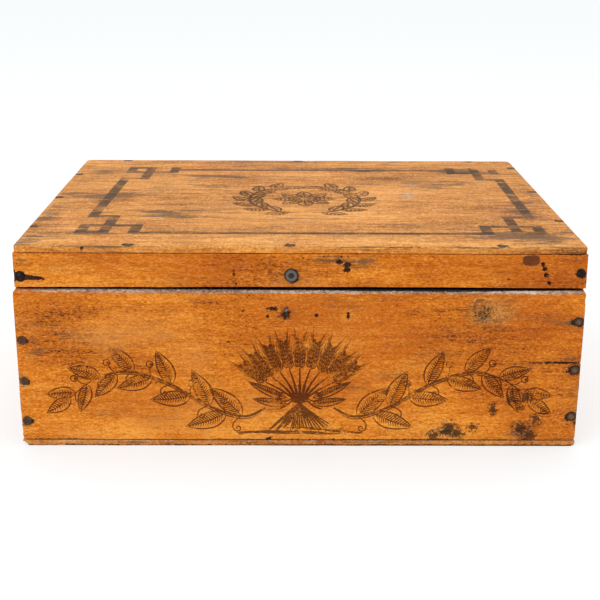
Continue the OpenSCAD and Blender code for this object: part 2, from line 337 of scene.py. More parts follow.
# %% Tones
HONEY = [
    (0.0, tone(80, 35, 12)),
    (0.1, tone(126, 61, 14)),
    (0.28, tone(172, 90, 19)),
    (0.5, tone(197, 108, 22)),
    (0.72, tone(217, 130, 36)),
    (0.94, tone(234, 155, 62)),
]
TAN = [
    (0.06, tone(122, 76, 36)),
    (0.28, tone(164, 106, 48)),
    (0.5, tone(187, 124, 58)),
    (0.72, tone(206, 141, 69)),
    (0.94, tone(224, 161, 88)),
]
RAW = [
    (0.06, tone(104, 68, 38)),
    (0.28, tone(150, 104, 60)),
    (0.5, tone(180, 133, 82)),
    (0.72, tone(202, 157, 106)),
    (0.94, tone(222, 184, 138)),
]
WEATHERED = [(0.1, tone(82, 68, 58)), (0.5, tone(146, 129, 115)), (0.9, tone(200, 186, 172))]
# Near black for soot and iron stains, and for painted shade: on the ledge under the lid's rail, the contact
# shadow of the planks and the shadow round the rosette.
SOOT_AND_SHADE = tone(33, 26, 22)
GRIME = tone(92, 70, 50)
DUST = tone(224, 190, 150)
AMBER = tone(168, 76, 12)
DRY = tone(226, 156, 80)
print("tones:", len(HONEY), len(TAN), len(RAW), len(WEATHERED))

# %% [markdown]
# ## The finish of one board
# Where a board is bleached, rubbed grey, smeared, stained by iron, crackled by a dark spill, left bare or
# darker than the rest is a matter of its place, and so is the painted shade that stands in for shadow in a
# few places. It could be painted on by hand, but a place that is written down can be changed and tried
# again. So each mesh carries its marks as attributes, and the finish lays one film over the other: varnish,
# dust, grime, wear, and stains together with painted shade. Noise breaks up their edges. A mark that a
# mesh doesn't carry counts as 0.

# %% One board's finish
GRAIN_DEPTH = 0.25 * MM


def old_wood(name, axes, seed, gloss=0.06, grime=0.25, coarse=1.0, bold=1.0):
    """The finish of one board before it is painted on: the finish, its colour, roughness and height."""
    f = Finish(name)
    f.shader.inputs["Specular IOR Level"].default_value = gloss
    along, across, through = [getattr(f, axis) for axis in axes]
    across = across / coarse
    bright, height, dust = grain(f, along, across, through, seed, bold)
    bleached = f.attribute("bleached")
    flecks = f.noise(f.vector(along * 700 + seed, across * 360, through * 360), detail=3, roughness=0.7)
    bright = bright - f.attribute("shade") * 0.3 + (flecks - 0.5) * bleached * 0.9
    breakup = f.noise(f.vector(along * 240 + seed, across * 330, through * 330), detail=5, roughness=0.78)
    ragged = f.noise(f.place, scale=620, detail=4, roughness=0.75)
    dirt = f.noise(f.vector(along * 17 + seed, across * 75, through * 75), detail=5, roughness=0.75)
    cracked = f.noise(f.vector(along * 34 + seed, across * 520, through * 520), detail=3, roughness=0.6)
    pale_lines = scratches(f, along, across, 24, seed) + scratches(f, along, across, -38, seed + 7.0)
    lit = bright + pale_lines * 0.22
    colour = f.mix(bleached, f.ramp(lit, HONEY), f.ramp(lit, TAN))
    patches = f.noise(f.vector(along * 9 + seed, across * 17, through * 17), detail=3)
    colour = f.mix(f.smooth(patches, 0.48, 0.66) * (0.45 - 0.3 * bleached), colour, AMBER)
    colour = f.mix(f.smooth(patches, 0.48, 0.3) * 0.36, colour, DRY)
    colour = f.mix(
        f.smooth(dust, 0.5, 0.78) * 0.17 + f.smooth(flecks, 0.52, 0.72) * bleached * 0.2, colour, DUST
    )
    colour = f.mix(f.smooth(dirt, 0.5, 0.74) * grime, colour, GRIME)
    colour = f.mix(f.smooth(cracked, 0.53, 0.68) * bleached * 0.6, colour, GRIME)
    bare = f.smooth(f.attribute("raw") + (breakup - 0.5) * 0.2, 0.4, 0.6)
    colour = f.mix(bare, colour, f.ramp(bright, RAW))
    streaky = (dirt - 0.5) * 2.0 + (breakup - 0.5) * 0.9 + (cracked - 0.5) * 1.4
    smeared = f.smooth(f.attribute("smear") + streaky, 0.3, 0.8)
    colour = f.mix(smeared * 0.8, colour, GRIME)
    rubbed = f.smooth(f.attribute("wear") + (breakup - 0.5) * 1.1, 0.4, 0.75)
    colour = f.mix(rubbed * 0.9, colour, f.ramp(bright + (breakup - 0.5) * 1.1, WEATHERED))
    # The stain attribute also carries painted shade and shadow on some boards, which turn as near black as
    # soot.
    stained_and_shaded = f.smooth(f.attribute("stain") + (breakup - 0.5) * 1.0 + (ragged - 0.5) * 2.0, 0.5, 0.7)
    colour = f.mix(stained_and_shaded * 0.93, colour, SOOT_AND_SHADE)
    veins = f.smooth(abs(f.noise(f.place, scale=380, detail=3, roughness=0.65) - 0.5), 0.08, 0.0)
    crazed = f.smooth(f.attribute("crackled") * 1.35 + veins * 0.5 + (breakup - 0.5) * 0.8, 0.82, 1.02)
    colour = f.mix(crazed * 0.82, colour, SOOT_AND_SHADE)
    roughness = 0.5 + (1 - bright) * 0.14 + rubbed * 0.2 + bare * 0.2
    return f, colour, roughness, height - stained_and_shaded * 0.5


def coat(obj, made):
    """Paints a board with a finish that old_wood gave."""
    f, colour, roughness, height = made
    obj.data.materials.append(f.paint(colour, roughness, height, GRAIN_DEPTH))


print("depth of the grain (mm):", GRAIN_DEPTH / MM)

# %% [markdown]
# ## Making a worn board
# Each board starts as a block at the size and place of its solid. A bevel alone would look machined. So
# bevels ease its edges, a few rounds of subdividing give it enough points to wear, and then its edges are
# nibbled. That only ever takes wood away, so the board stays inside its solid. Where a corner is rounded,
# four bisecting cuts free it from the large faces, which can then be subdivided like the rest.

# %% Tools for a block
TINY = 1e-6
SHARP_ANGLE = math.radians(50)


def only(obj):
    """Selects one object and makes it active."""
    bpy.ops.object.select_all(action="DESELECT")
    obj.select_set(True)
    bpy.context.view_layer.objects.active = obj


def apply_modifiers(obj):
    """Makes what the modifiers do part of the mesh."""
    only(obj)
    for modifier in list(obj.modifiers):
        bpy.ops.object.modifier_apply(modifier=modifier.name)


def run_along(edge, axis):
    """The length of an edge that runs straight along an axis, or 0."""
    run = edge.verts[1].co - edge.verts[0].co
    return abs(run[axis]) if all(abs(run[i]) < TINY for i in range(3) if i != axis) else 0.0


def pick_edges(obj, test):
    """Selects the edges of a mesh in edit mode that pass a test."""
    mesh = bmesh.from_edit_mesh(obj.data)
    for edge in mesh.edges:
        edge.select = test(edge)
    bmesh.update_edit_mesh(obj.data)


def cube(name, low, high):
    """A cube between two corners, open for editing."""
    bpy.ops.object.select_all(action="DESELECT")
    bpy.ops.mesh.primitive_cube_add(size=1, location=(low + high) / 2, scale=high - low)
    obj = bpy.context.object
    obj.name = name
    bpy.ops.object.transform_apply(location=True, rotation=True, scale=True)
    bpy.ops.object.mode_set(mode="EDIT")
    bpy.ops.mesh.select_mode(type="EDGE")
    return obj


def sharp(edge):
    return edge.is_manifold and edge.calc_face_angle() > SHARP_ANGLE


def halve(obj, halvings):
    """Halves the longest straight edges, so many times along X, Y and Z."""
    for axis, times in enumerate(halvings):
        for _ in range(times):
            mesh = bmesh.from_edit_mesh(obj.data)
            longest = max(run_along(edge, axis) for edge in mesh.edges)
            pick_edges(obj, lambda edge: run_along(edge, axis) > 0.9 * longest)
            bpy.ops.mesh.subdivide(number_cuts=1)
    bpy.ops.object.mode_set(mode="OBJECT")


print("an edge is sharp from (degrees):", round(math.degrees(SHARP_ANGLE)))

# %% [markdown]
# ## Wear on the edges
# Handling wears an old box at its edges first, and unevenly. A vertex group that fades away from the edges
# tells two Displace modifiers where to work, one with broad clouds and one with fine ones. Their middle
# level is 1, so the clouds can only push the surface in.


# %% Wear on the edges
def points_of(obj):
    """The points of a mesh as rows of X, Y and Z."""
    found = np.empty(3 * len(obj.data.vertices))
    obj.data.vertices.foreach_get("co", found)
    return found.reshape(-1, 3)


def edge_distance(p, low, high):
    """How far points of a block lie from its nearest edge: the second smallest distance to a face."""
    return np.sort(np.minimum(p - np.array(low), np.array(high) - p), axis=1)[:, 1]


def clouds(name, size, depth):
    """A cloudy texture for a Displace modifier."""
    texture = bpy.data.textures.new(name, "CLOUDS")
    texture.noise_scale = size
    texture.noise_depth = depth
    return texture


BROAD_WEAR = clouds("broad_wear", 22 * MM, 2)
FINE_WEAR = clouds("fine_wear", 5 * MM, 1)


def nibble(obj, low, high, amount, reach=3.0 * MM):
    """Wears the edges of a block inwards, by an uneven amount."""
    group = obj.vertex_groups.new(name="edges")
    weights = np.round(10 * (1 - edge_distance(points_of(obj), low, high) / reach)).astype(int)
    for tenth in range(1, 11):
        group.add(np.flatnonzero(weights == tenth).tolist(), tenth / 10, "REPLACE")
    for texture, share in ((BROAD_WEAR, 0.65), (FINE_WEAR, 0.35)):
        wear = obj.modifiers.new(texture.name, "DISPLACE")
        wear.texture = texture
        wear.texture_coords = "LOCAL"
        wear.mid_level = 1.0
        wear.strength = amount * share
        wear.vertex_group = "edges"
    apply_modifiers(obj)
    obj.vertex_groups.clear()


print("wear textures:", BROAD_WEAR.name, FINE_WEAR.name)


# %% A worn board
def stand_for(obj, node, body):
    """Puts a piece in the place of a solid."""
    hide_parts(node)
    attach(obj, body)
    return obj


def round_corners(obj, low, high, axis, radius):
    """Rounds the edges along an axis, and cuts the mesh beside them, so its large faces keep four sides."""
    pick_edges(obj, lambda e: run_along(e, axis) > 0)
    bpy.ops.mesh.bevel(offset=radius, segments=6, affect="EDGES")
    for side in [i for i in range(3) if i != axis]:
        for place in (low[side] + radius, high[side] - radius):
            cut = Vector((0, 0, 0))
            cut[side] = 1
            bpy.ops.mesh.select_all(action="SELECT")
            bpy.ops.mesh.bisect(plane_co=cut * place, plane_no=cut)


def board(node, body, halvings, wear=1.2 * MM, bevel=0.7 * MM, corner=0.0, rim=0.0, swollen=(0.0, 0.0)):
    """A worn board in the place of a solid. A rim is a rounding of its front edge at the top."""
    low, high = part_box(node)
    low.y, high.y = low.y - swollen[0], high.y + swollen[1]
    obj = cube("worn_" + node, low, high)
    if corner:
        round_corners(obj, low, high, 1, corner)
    if rim:
        top = high.z - corner - TINY
        pick_edges(obj, lambda e: sharp(e) and all(v.co.y < low.y + TINY and v.co.z > top for v in e.verts))
        bpy.ops.mesh.bevel(offset=rim, segments=5, affect="EDGES")
    pick_edges(obj, sharp)
    bpy.ops.mesh.bevel(offset=bevel, segments=3, affect="EDGES")
    halve(obj, halvings)
    nibble(obj, low, high, wear)
    return stand_for(obj, node, body)


print("board maker ready")

# %% [markdown]
# ## The boards of the box
# Four boards are butted and nailed into a frame, and three planks close it from below. The front board is a
# little rounder than the others, because hands met it most. Dirt has closed the thin gaps between the
# planks, so each plank swells to nearly half of a gap on the sides where it meets another.

# %% The boards of the box
front_board = board("front_board", "box", (8, 1, 7), corner=3.0 * MM, rim=2.0 * MM)
back_board = board("back_board", "box", (7, 1, 5))
left_side = board("left_side_board", "box", (1, 7, 5))
right_side = board("right_side_board", "box", (1, 7, 5))
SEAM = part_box("bottom_plank_middle")[0].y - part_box("bottom_plank_front")[1].y
PLANK_SEAMS = {"bottom_plank_front": (0, 1), "bottom_plank_middle": (1, 1), "bottom_plank_rear": (1, 0)}
planks = []
for node, sides in PLANK_SEAMS.items():
    swollen = [0.45 * SEAM * side for side in sides]
    planks.append(board(node, "box", (7, 4, 1), 0.5 * MM, 0.35 * MM, swollen=swollen))
print(
    "box boards:",
    [len(b.data.polygons) for b in (front_board, back_board, left_side, right_side, *planks)],
)

# %% [markdown]
# ## The lid boards
# The lid's top has round corners and a soft upper edge, while below it sits tight on its rails. So its
# upright edges are rounded first, then its upper rim is bevelled and last the lower one. It is a hair
# thinner than its solid, so that the film of print on it stays inside the solid too.

# %% The lid boards
LID_CORNER = 5.5 * MM
PRINT_ROOM = 0.13 * MM
RAIL_WEAR, RAIL_BEVEL = 0.8 * MM, 0.35 * MM


def rim_edges(level):
    """A test for the sharp edges at one level."""
    return lambda e: sharp(e) and all(abs(v.co.z - level) < TINY for v in e.verts)


lid_low, lid_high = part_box("lid_top")
lid_high.z -= PRINT_ROOM
lid_top = cube("worn_lid_top", lid_low, lid_high)
round_corners(lid_top, lid_low, lid_high, 2, LID_CORNER)
pick_edges(lid_top, rim_edges(lid_high.z))
bpy.ops.mesh.bevel(offset=1.3 * MM, segments=4, affect="EDGES")
pick_edges(lid_top, rim_edges(lid_low.z))
bpy.ops.mesh.bevel(offset=0.25 * MM, segments=1, affect="EDGES")
halve(lid_top, (8, 7, 1))
nibble(lid_top, lid_low, lid_high, 0.6 * MM)
stand_for(lid_top, "lid_top", "lid")
front_rail = board("lid_front_rail", "lid", (8, 1, 4), RAIL_WEAR, RAIL_BEVEL)
back_rail = board("lid_back_rail", "lid", (7, 1, 3), RAIL_WEAR, RAIL_BEVEL)
left_rail = board("lid_left_rail", "lid", (1, 7, 3), RAIL_WEAR, RAIL_BEVEL)
right_rail = board("lid_right_rail", "lid", (1, 7, 3), RAIL_WEAR, RAIL_BEVEL)
rails = [front_rail, back_rail, left_rail, right_rail]
boards = [front_board, back_board, left_side, right_side, *planks, lid_top, *rails]
print("lid boards:", [len(b.data.polygons) for b in (lid_top, *rails)])

# %% [markdown]
# ## Pits, chips and splits
# Nails were driven home with a hammer, so each head lies in a small ragged pit. Pits and chips could be
# faked by bump in the material, but at an edge they change the board's outline, so they are cut. A cone
# that is jittered by the Randomize tool makes a pit, a squashed ball makes a chip or an old nail hole, and
# a thin wedge makes a split. All the cutters of a board lie in one collection, which a single Boolean takes
# away.

# %% Pits and chips
FACING = {"-y": (90, 0, 0), "+y": (-90, 0, 0), "+z": (0, 0, 0), "-z": (180, 0, 0)}


def jitter(obj, amount, seed):
    """Moves the points of a mesh about by a small amount, the same way each time for the same seed."""
    only(obj)
    bpy.ops.object.mode_set(mode="EDIT")
    bpy.ops.mesh.select_all(action="SELECT")
    bpy.ops.transform.vertex_random(offset=amount, seed=seed)
    bpy.ops.object.mode_set(mode="OBJECT")


def pit(at, facing, radius, depth, seed):
    """A ragged cone that opens towards one side, sunk to a depth."""
    bpy.ops.mesh.primitive_cone_add(
        vertices=16,
        radius1=radius * 0.8,
        radius2=radius * 1.15,
        depth=2 * depth,
        location=at,
        rotation=[math.radians(a) for a in FACING[facing]],
    )
    obj = bpy.context.object
    jitter(obj, 0.09 * radius, seed)
    return obj


def chip(at, size, seed):
    """A squashed, uneven ball. Its size is given in millimetres."""
    bpy.ops.mesh.primitive_ico_sphere_add(subdivisions=2, radius=MM, location=at, scale=size)
    obj = bpy.context.object
    bpy.ops.object.transform_apply(location=True, rotation=True, scale=True)
    jitter(obj, 0.12 * MM * min(size), seed)
    return obj


print("cutters face:", list(FACING))


# %% Splits and carving
def split(start, end, width, depth, sway, wave=0.35):
    """A thin wedge in the front of a board, from its point at start to its wide end. The wave bends it."""
    run = end - start
    bpy.ops.mesh.primitive_cube_add(size=1, location=(start + end) / 2, scale=(run.length, 2 * depth, width))
    obj = bpy.context.object
    obj.rotation_euler = (0, -math.atan2(run.z, run.x), 0)
    bpy.ops.object.transform_apply(location=True, rotation=True, scale=True)
    bpy.ops.object.mode_set(mode="EDIT")
    bpy.ops.mesh.select_all(action="SELECT")
    bpy.ops.mesh.subdivide(number_cuts=7)
    bpy.ops.object.mode_set(mode="OBJECT")
    for vertex in obj.data.vertices:
        share = (vertex.co - start).dot(run) / run.length_squared
        middle = start.z + share * run.z
        vertex.co.z = (
            middle + (vertex.co.z - middle) * max(share, 0.3) + wave * width * math.sin(9 * share + sway)
        )
    return obj


def carve(obj, cutters):
    """Takes all the cutters away from a board at once."""
    tools = bpy.data.collections.new("cutters")
    bpy.context.scene.collection.children.link(tools)
    for cutter in cutters:
        only(cutter)
        bpy.ops.object.transform_apply(location=True, rotation=True, scale=True)
        tools.objects.link(cutter)
    cut = obj.modifiers.new("carve", "BOOLEAN")
    cut.operand_type = "COLLECTION"
    cut.collection = tools
    cut.solver = "MANIFOLD"
    apply_modifiers(obj)
    obj.data.materials.clear()
    for cutter in cutters:
        bpy.data.objects.remove(cutter)
    bpy.data.collections.remove(tools)


print("carving tools ready")

# %% [markdown]
# ## Finding the nails
# The nails are solids of the frame, and like nails share one node. Their heads lie furthest out, so the
# outermost points of a node, gathered into clusters, give the middle of every head. That way the pits and
# stains always sit where the nails are.

# %% Nail heads
SAME_LEVEL = 0.01 * MM
SAME_HEAD = 8 * MM


def nail_heads(node, axis, furthest):
    """The middles of a row of nail heads: clusters of the points that lie furthest along an axis."""
    points = [v.co for v in frame["nodes"][node].data.vertices]
    limit = furthest(p[axis] for p in points)
    clusters = []
    for p in points:
        if abs(p[axis] - limit) < SAME_LEVEL:
            near = [c for c in clusters if (c[0] - p).length < SAME_HEAD]
            if near:
                near[0].append(p)
            else:
                clusters.append([p])
    return [sum(c, Vector()) / len(c) for c in clusters]


front_nails = nail_heads("front_board_nails", 1, min)
back_nails = nail_heads("back_board_nails", 1, max)
lid_nails = nail_heads("lid_top_nails", 2, max)
rail_nails = nail_heads("lid_front_rail_nails", 1, min)
back_rail_nails = nail_heads("lid_back_rail_nails", 1, max)
bottom_nails = nail_heads("bottom_nails", 2, min)
print(
    "nail heads:",
    [len(n) for n in (front_nails, back_nails, lid_nails, rail_nails, back_rail_nails, bottom_nails)],
)

# %% [markdown]
# ## Carving the box
# The front has an old hole or two, a few chips, a ragged lower edge where it stands on the planks, bruised
# ends and one long split at the right. A corner of the front plank has broken away. Each chip is given by
# its place on the face and its three half widths, all in millimetres.


# %% Pits round nails, and places on the faces
def nail_pits(nails, facing, radius=3.5 * MM, depth=0.75 * MM):
    """A pit round each nail, no two of the same size."""
    return [
        pit(at, facing, radius * (1 + 0.12 * math.sin(5.0 * i)), depth, i + 1)
        for i, at in enumerate(nails)
    ]


def chips(spots, place):
    """Chips on a face, each given by its place there and its size, in millimetres."""
    return [chip(place(*at), size, seed + 1) for seed, (at, size) in enumerate(spots)]


front_low, front_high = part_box("front_board")
rail_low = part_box("lid_front_rail")[0]


def on_front(x, z):
    return Vector((x * MM, front_low.y, z * MM))


def on_rail(x, z):
    return Vector((x * MM, rail_low.y, z * MM))


def on_lid(x, y):
    return Vector((x * MM, y * MM, lid_high.z))


print("front face at y (mm):", round(front_low.y / MM, 1), "rail face:", round(rail_low.y / MM, 1))

# %% Carve the box
FRONT_CHIPS = [
    ((-18.6, 94.9), (2.6, 1.2, 1.1)),
    ((-15.4, 94.2), (2.2, 1.4, 0.9)),
    ((-20.5, 89.4), (0.8, 0.9, 0.8)),
    ((10.2, 90.2), (1.0, 0.9, 0.9)),
    ((30.2, 90.2), (0.8, 1.0, 2.0)),
    ((112.5, 91.2), (3.0, 0.5, 1.4)),
    ((117.4, 94.2), (2.4, 0.6, 2.0)),
    ((120.8, 91.0), (1.8, 0.4, 1.2)),
    ((145.4, 10.8), (3.2, 0.5, 2.4)),
    ((149.6, 7.8), (2.2, 0.5, 1.8)),
    ((97.4, 9.6), (2.6, 0.5, 2.0)),
    ((102.4, 9.0), (1.8, 0.4, 1.6)),
    ((-28.0, 3.6), (20.0, 1.0, 0.9)),
    ((-20.0, 5.2), (1.8, 0.9, 1.1)),
    ((62.0, 3.7), (26.0, 0.8, 0.7)),
    ((-120.0, 3.7), (15.0, 0.7, 0.6)),
    ((-72.0, 3.4), (9.0, 0.9, 1.1)),
    ((18.0, 3.3), (6.0, 1.1, 1.2)),
    ((104.0, 3.5), (12.0, 0.8, 0.8)),
    ((134.0, 3.2), (7.0, 1.2, 1.0)),
    ((160.0, 3.4), (10.0, 1.0, 0.9)),
    ((-60.0, 107.0), (9.0, 1.6, 1.0)),
    ((70.0, 107.0), (14.0, 1.4, 0.9)),
    ((-132.0, 107.0), (7.0, 1.5, 0.9)),
    ((134.0, 107.1), (10.0, 1.5, 1.0)),
    ((179.6, 100.5), (1.2, 2.0, 3.0)),
    ((-179.8, 9.0), (1.2, 2.0, 4.0)),
    ((-180.2, 107.2), (2.6, 3.0, 2.2)),
    ((180.7, 107.6), (1.7, 2.4, 1.5)),
    ((180.6, 55.0), (1.1, 1.8, 2.6)),
    ((180.7, 11.0), (0.9, 2.0, 5.0)),
]
front_cuts = nail_pits(front_nails, "-y", depth=0.8 * MM) + chips(FRONT_CHIPS, on_front)
front_cuts.append(split(on_front(140.0, 59.1), on_front(182.0, 58.2), 1.0 * MM, 3.0 * MM, 1.0))
carve(front_board, front_cuts)
carve(back_board, nail_pits(back_nails, "+y"))
for plank in planks:
    low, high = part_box(plank.name.replace("worn_", ""))
    mine = [n for n in bottom_nails if low.y < n.y < high.y]
    cuts = nail_pits(mine, "-z", 3.2 * MM, 0.6 * MM)
    if plank is planks[0]:
        cuts.append(chip(Vector((-181 * MM, low.y, low.z - MM)), (5.2, 16.0, 4.6), 60))
        cuts.append(chip(Vector((180.4 * MM, low.y, low.z)), (3.0, 2.4, 2.4), 61))
    carve(plank, cuts)
print("faces of the front board:", len(front_board.data.polygons))

# %% [markdown]
# ## Carving the lid
# The rail of the lid has a row of small holes at the right, torn wood beside the rosette and a wedge that
# split off at its left end, below the nail. Its lower edge is rounded over by wear, and the lid's upper
# edge is bruised here and there. Last, every board is shaded smooth but for its real edges.

# %% Carve the lid
SMOOTH_ANGLE = math.radians(35)
RAIL_CHIPS = [
    ((151.2, 124.0), (1.1, 1.2, 1.1)),
    ((152.4, 120.7), (1.3, 1.2, 1.2)),
    ((153.6, 116.8), (1.7, 1.2, 1.2)),
    ((155.8, 111.8), (1.1, 1.2, 1.1)),
    ((24.2, 124.9), (1.7, 1.2, 1.4)),
    ((29.2, 123.2), (2.0, 0.9, 1.3)),
    ((29.0, 119.8), (2.2, 1.2, 1.0)),
    ((30.0, 107.2), (170.0, 2.6, 1.6)),
    ((40.0, 107.6), (26.0, 1.0, 1.4)),
    ((-30.0, 107.6), (16.0, 1.0, 1.3)),
    ((130.0, 107.5), (45.0, 1.6, 0.9)),
    ((164.0, 107.5), (30.0, 1.4, 0.9)),
    ((172.0, 130.6), (12.0, 1.6, 0.7)),
]
LID_EDGE_CHIPS = [
    ((-135.3, 132.6), (0.55, 1.2, 0.5)),
    ((174.0, 130.0), (13.0, 2.2, 0.8)),
    ((60.0, 135.1), (18.0, 1.2, 0.8)),
    ((-90.0, 135.1), (12.0, 1.1, 0.7)),
    ((122.0, 134.9), (9.0, 1.3, 0.9)),
    ((-12.0, 135.0), (7.0, 1.0, 0.7)),
]
rail_cuts = nail_pits(rail_nails, "-y", 3.6 * MM, 0.8 * MM) + chips(RAIL_CHIPS, on_rail)
rail_cuts.append(split(on_rail(-161.0, 113.9), on_rail(-180.0, 115.1), 6.0 * MM, 1.1 * MM, 0.0, 0.07))
carve(front_rail, rail_cuts)
carve(back_rail, nail_pits(back_rail_nails, "+y"))
carve(lid_top, nail_pits(lid_nails, "+z", 3.4 * MM, 0.7 * MM) + chips(LID_EDGE_CHIPS, on_rail))
for piece in boards:
    only(piece)
    bpy.ops.object.shade_smooth_by_angle(angle=SMOOTH_ANGLE)
print("faces of all the boards:", sum(len(b.data.polygons) for b in boards))

# %% [markdown]
# ## Where the boards are rubbed, stained and bare
# Hands rubbed the rim under the lid grey, iron stained the wood round every nail, damp smeared the lid, and
# the inside was left without varnish. Instead of a brush, a short function of the place says how strong
# each mark is, and the mesh stores it point by point. Most marks are blots, soft balls with a middle, three
# reaches and a strength. A blot reaches through a board as far as FAR, or only as deep as SKIN, both in
# millimetres.

# %% Blots
FAR = 40.0
SKIN = 5.0


def blot(p, middle, reach):
    """1 in the middle of a blot and 0 from its reach on. The reach is in millimetres along X, Y and Z."""
    off = (p - np.array(middle)) / (MM * np.array(reach))
    return np.maximum(0.0, 1 - np.sqrt((off**2).sum(axis=1)))


def step(value, low, high):
    """0 at low, 1 at high, a straight line between them and level outside."""
    return np.clip((value - low) / (high - low), 0.0, 1.0)


def mark(obj, **measures):
    """Stores on each point of a mesh how strong each named mark is there."""
    p = points_of(obj)
    for name, measure in measures.items():
        layer = obj.data.attributes.new(name, "FLOAT", "POINT")
        layer.data.foreach_set("value", np.ascontiguousarray(measure(p), dtype=np.float32))


def strongest(spots):
    """The strongest of several blots, each a middle, a reach and a strength."""
    return lambda p: np.max([strength * blot(p, middle, reach) for middle, reach, strength in spots], axis=0)


def total(spots):
    """The sum of several soft blots, some of which may be below zero."""
    return lambda p: sum(strength * step(blot(p, middle, reach), 0, 0.8) for middle, reach, strength in spots)


def spots_on(place, spots):
    """Blots on a face, each given by its place there, its two reaches and its strength, in millimetres."""
    flat = place is on_lid
    return [
        (place(*at), (wide, tall, SKIN) if flat else (wide, SKIN, tall), strength)
        for at, (wide, tall), strength in spots
    ]


def round_nails(nails, reach, strength=1.5):
    """One blot round each nail."""
    return [(nail, reach, strength) for nail in nails]


print("blots reach (mm):", SKIN, "or", FAR)


# %% Marks that follow a board's shape
def varying(p, values):
    """A number that changes along X, given at some places there in millimetres."""
    return np.interp(p[:, 0] / MM, list(values), list(values.values()))


def seat(node, face):
    """The dirt on the face on which the lid lies: on top of a board or under a rail."""
    low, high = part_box(node)
    level = high.z if face == "top" else low.z
    return lambda p: 0.75 * step(np.abs(p[:, 2] - level), 0.7 * MM, 0.1 * MM)


def rubbed_edges(node, strength=0.5, reach=2.4 * MM):
    """Wear along all the edges of a board."""
    low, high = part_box(node)
    return lambda p: strength * np.maximum(0.0, 1 - edge_distance(p, low, high) / reach)


def bare_side(node, axis, towards, margin=3 * MM):
    """Bare from just below the face that looks inwards, but for a margin at its ends."""
    low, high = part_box(node)
    face = high[axis] if towards > 0 else low[axis]
    others = [i for i in (0, 1) if i != axis]

    def measure(p):
        inside = np.minimum(p - np.array(low), np.array(high) - p)[:, others].min(axis=1)
        return step(towards * (p[:, axis] - face), -1.6 * MM, -0.6 * MM) * (inside >= margin)

    return measure


NAIL_STAIN = (7.0, SKIN, 5.6)
NAIL_HALO = (11.0, SKIN, 8.6)
LID_NAIL_STAIN = (7.6, 5.2, SKIN)
print("a nail stains its wood over (mm):", NAIL_STAIN)

# %% [markdown]
# ## Marks on the front
# Iron has stained the wood round the nails and the holes, dark spills have crackled at the lower right,
# dirt lies in smears, and the varnish is deeper in some places than in others. Each list gives the place on
# the face, the two reaches there and the strength.

# %% Spots on the front
FRONT_STAINS = [
    ((27.1, 13.3), (4.0, 6.0), 0.7),
    ((-17.2, 94.6), (6.6, 2.6), 1.3),
    ((-9.2, 91.0), (4.6, 6.0), 1.25),
    ((-20.5, 89.4), (2.6, 2.6), 1.2),
    ((-36.0, 93.0), (2.4, 2.0), 1.0),
    ((-27.5, 75.0), (2.2, 1.8), 0.8),
    ((10.4, 90.2), (2.8, 2.2), 1.2),
    ((30.2, 90.4), (2.2, 4.2), 1.2),
    ((-20.0, 5.2), (5.0, 4.0), 1.1),
    ((83.0, 45.5), (3.0, 2.2), 0.9),
    ((137.0, 64.0), (20.0, 1.6), 0.5),
    ((163.0, 58.6), (26.0, 1.8), 1.0),
    ((179.4, 15.5), (2.4, 6.0), 1.0),
]
SMUDGES = [
    ((124.8, 26.4), (5.6, 10.0), 0.95),
    ((135.9, 33.4), (4.0, 9.6), 0.9),
    ((146.2, 34.4), (6.4, 8.0), 0.86),
    ((144.0, 28.0), (4.2, 4.2), 0.9),
    ((153.0, 19.6), (8.0, 8.6), 0.86),
    ((158.6, 23.8), (4.6, 3.4), 0.8),
    ((143.6, 12.8), (11.0, 9.6), 1.0),
    ((149.6, 7.6), (8.0, 8.0), 1.0),
    ((146.0, 4.4), (6.0, 5.4), 0.95),
    ((97.0, 13.0), (8.6, 11.0), 0.98),
    ((102.6, 9.0), (8.4, 8.0), 0.98),
    ((87.2, 7.4), (9.6, 7.4), 0.95),
    ((93.6, 10.4), (7.4, 6.4), 0.92),
    ((112.4, 13.4), (7.4, 6.4), 0.86),
]
FRONT_SMEARS = [
    ((98.0, 12.0), (20.0, 10.0), 0.6),
    ((146.0, 13.0), (15.0, 15.0), 0.55),
    ((126.0, 27.0), (8.0, 8.0), 0.45),
    ((140.0, 33.0), (14.0, 8.0), 0.45),
    ((-14.0, 92.0), (14.0, 8.0), 0.5),
    ((-62.0, 99.0), (40.0, 5.0), 0.4),
    ((-168.0, 70.0), (12.0, 40.0), 0.4),
    ((172.0, 40.0), (9.0, 40.0), 0.45),
    ((150.0, 60.0), (36.0, 7.0), 0.4),
]
FRONT_SHADES = [
    ((172.0, 58.0), (80.0, 95.0), 0.45),
    ((100.0, 84.0), (75.0, 32.0), 0.4),
    ((-42.0, 84.0), (44.0, 34.0), 0.35),
    ((76.0, 24.0), (50.0, 26.0), -0.3),
    ((128.0, 10.0), (34.0, 9.0), 0.4),
    ((-30.0, 8.0), (230.0, 60.0), -0.8),
    ((30.0, 60.0), (60.0, 30.0), -0.25),
    ((28.5, 89.6), (4.6, 5.4), -0.9),
    ((-118.0, 101.0), (60.0, 9.0), -0.5),
    ((-152.0, 91.0), (26.0, 6.0), 0.5),
    ((-146.0, 74.0), (22.0, 20.0), 0.4),
    ((-140.0, 56.0), (20.0, 13.0), 0.45),
    ((-154.0, 36.0), (22.0, 20.0), -0.3),
]
print("spots on the front:", len(FRONT_STAINS + SMUDGES + FRONT_SMEARS + FRONT_SHADES))
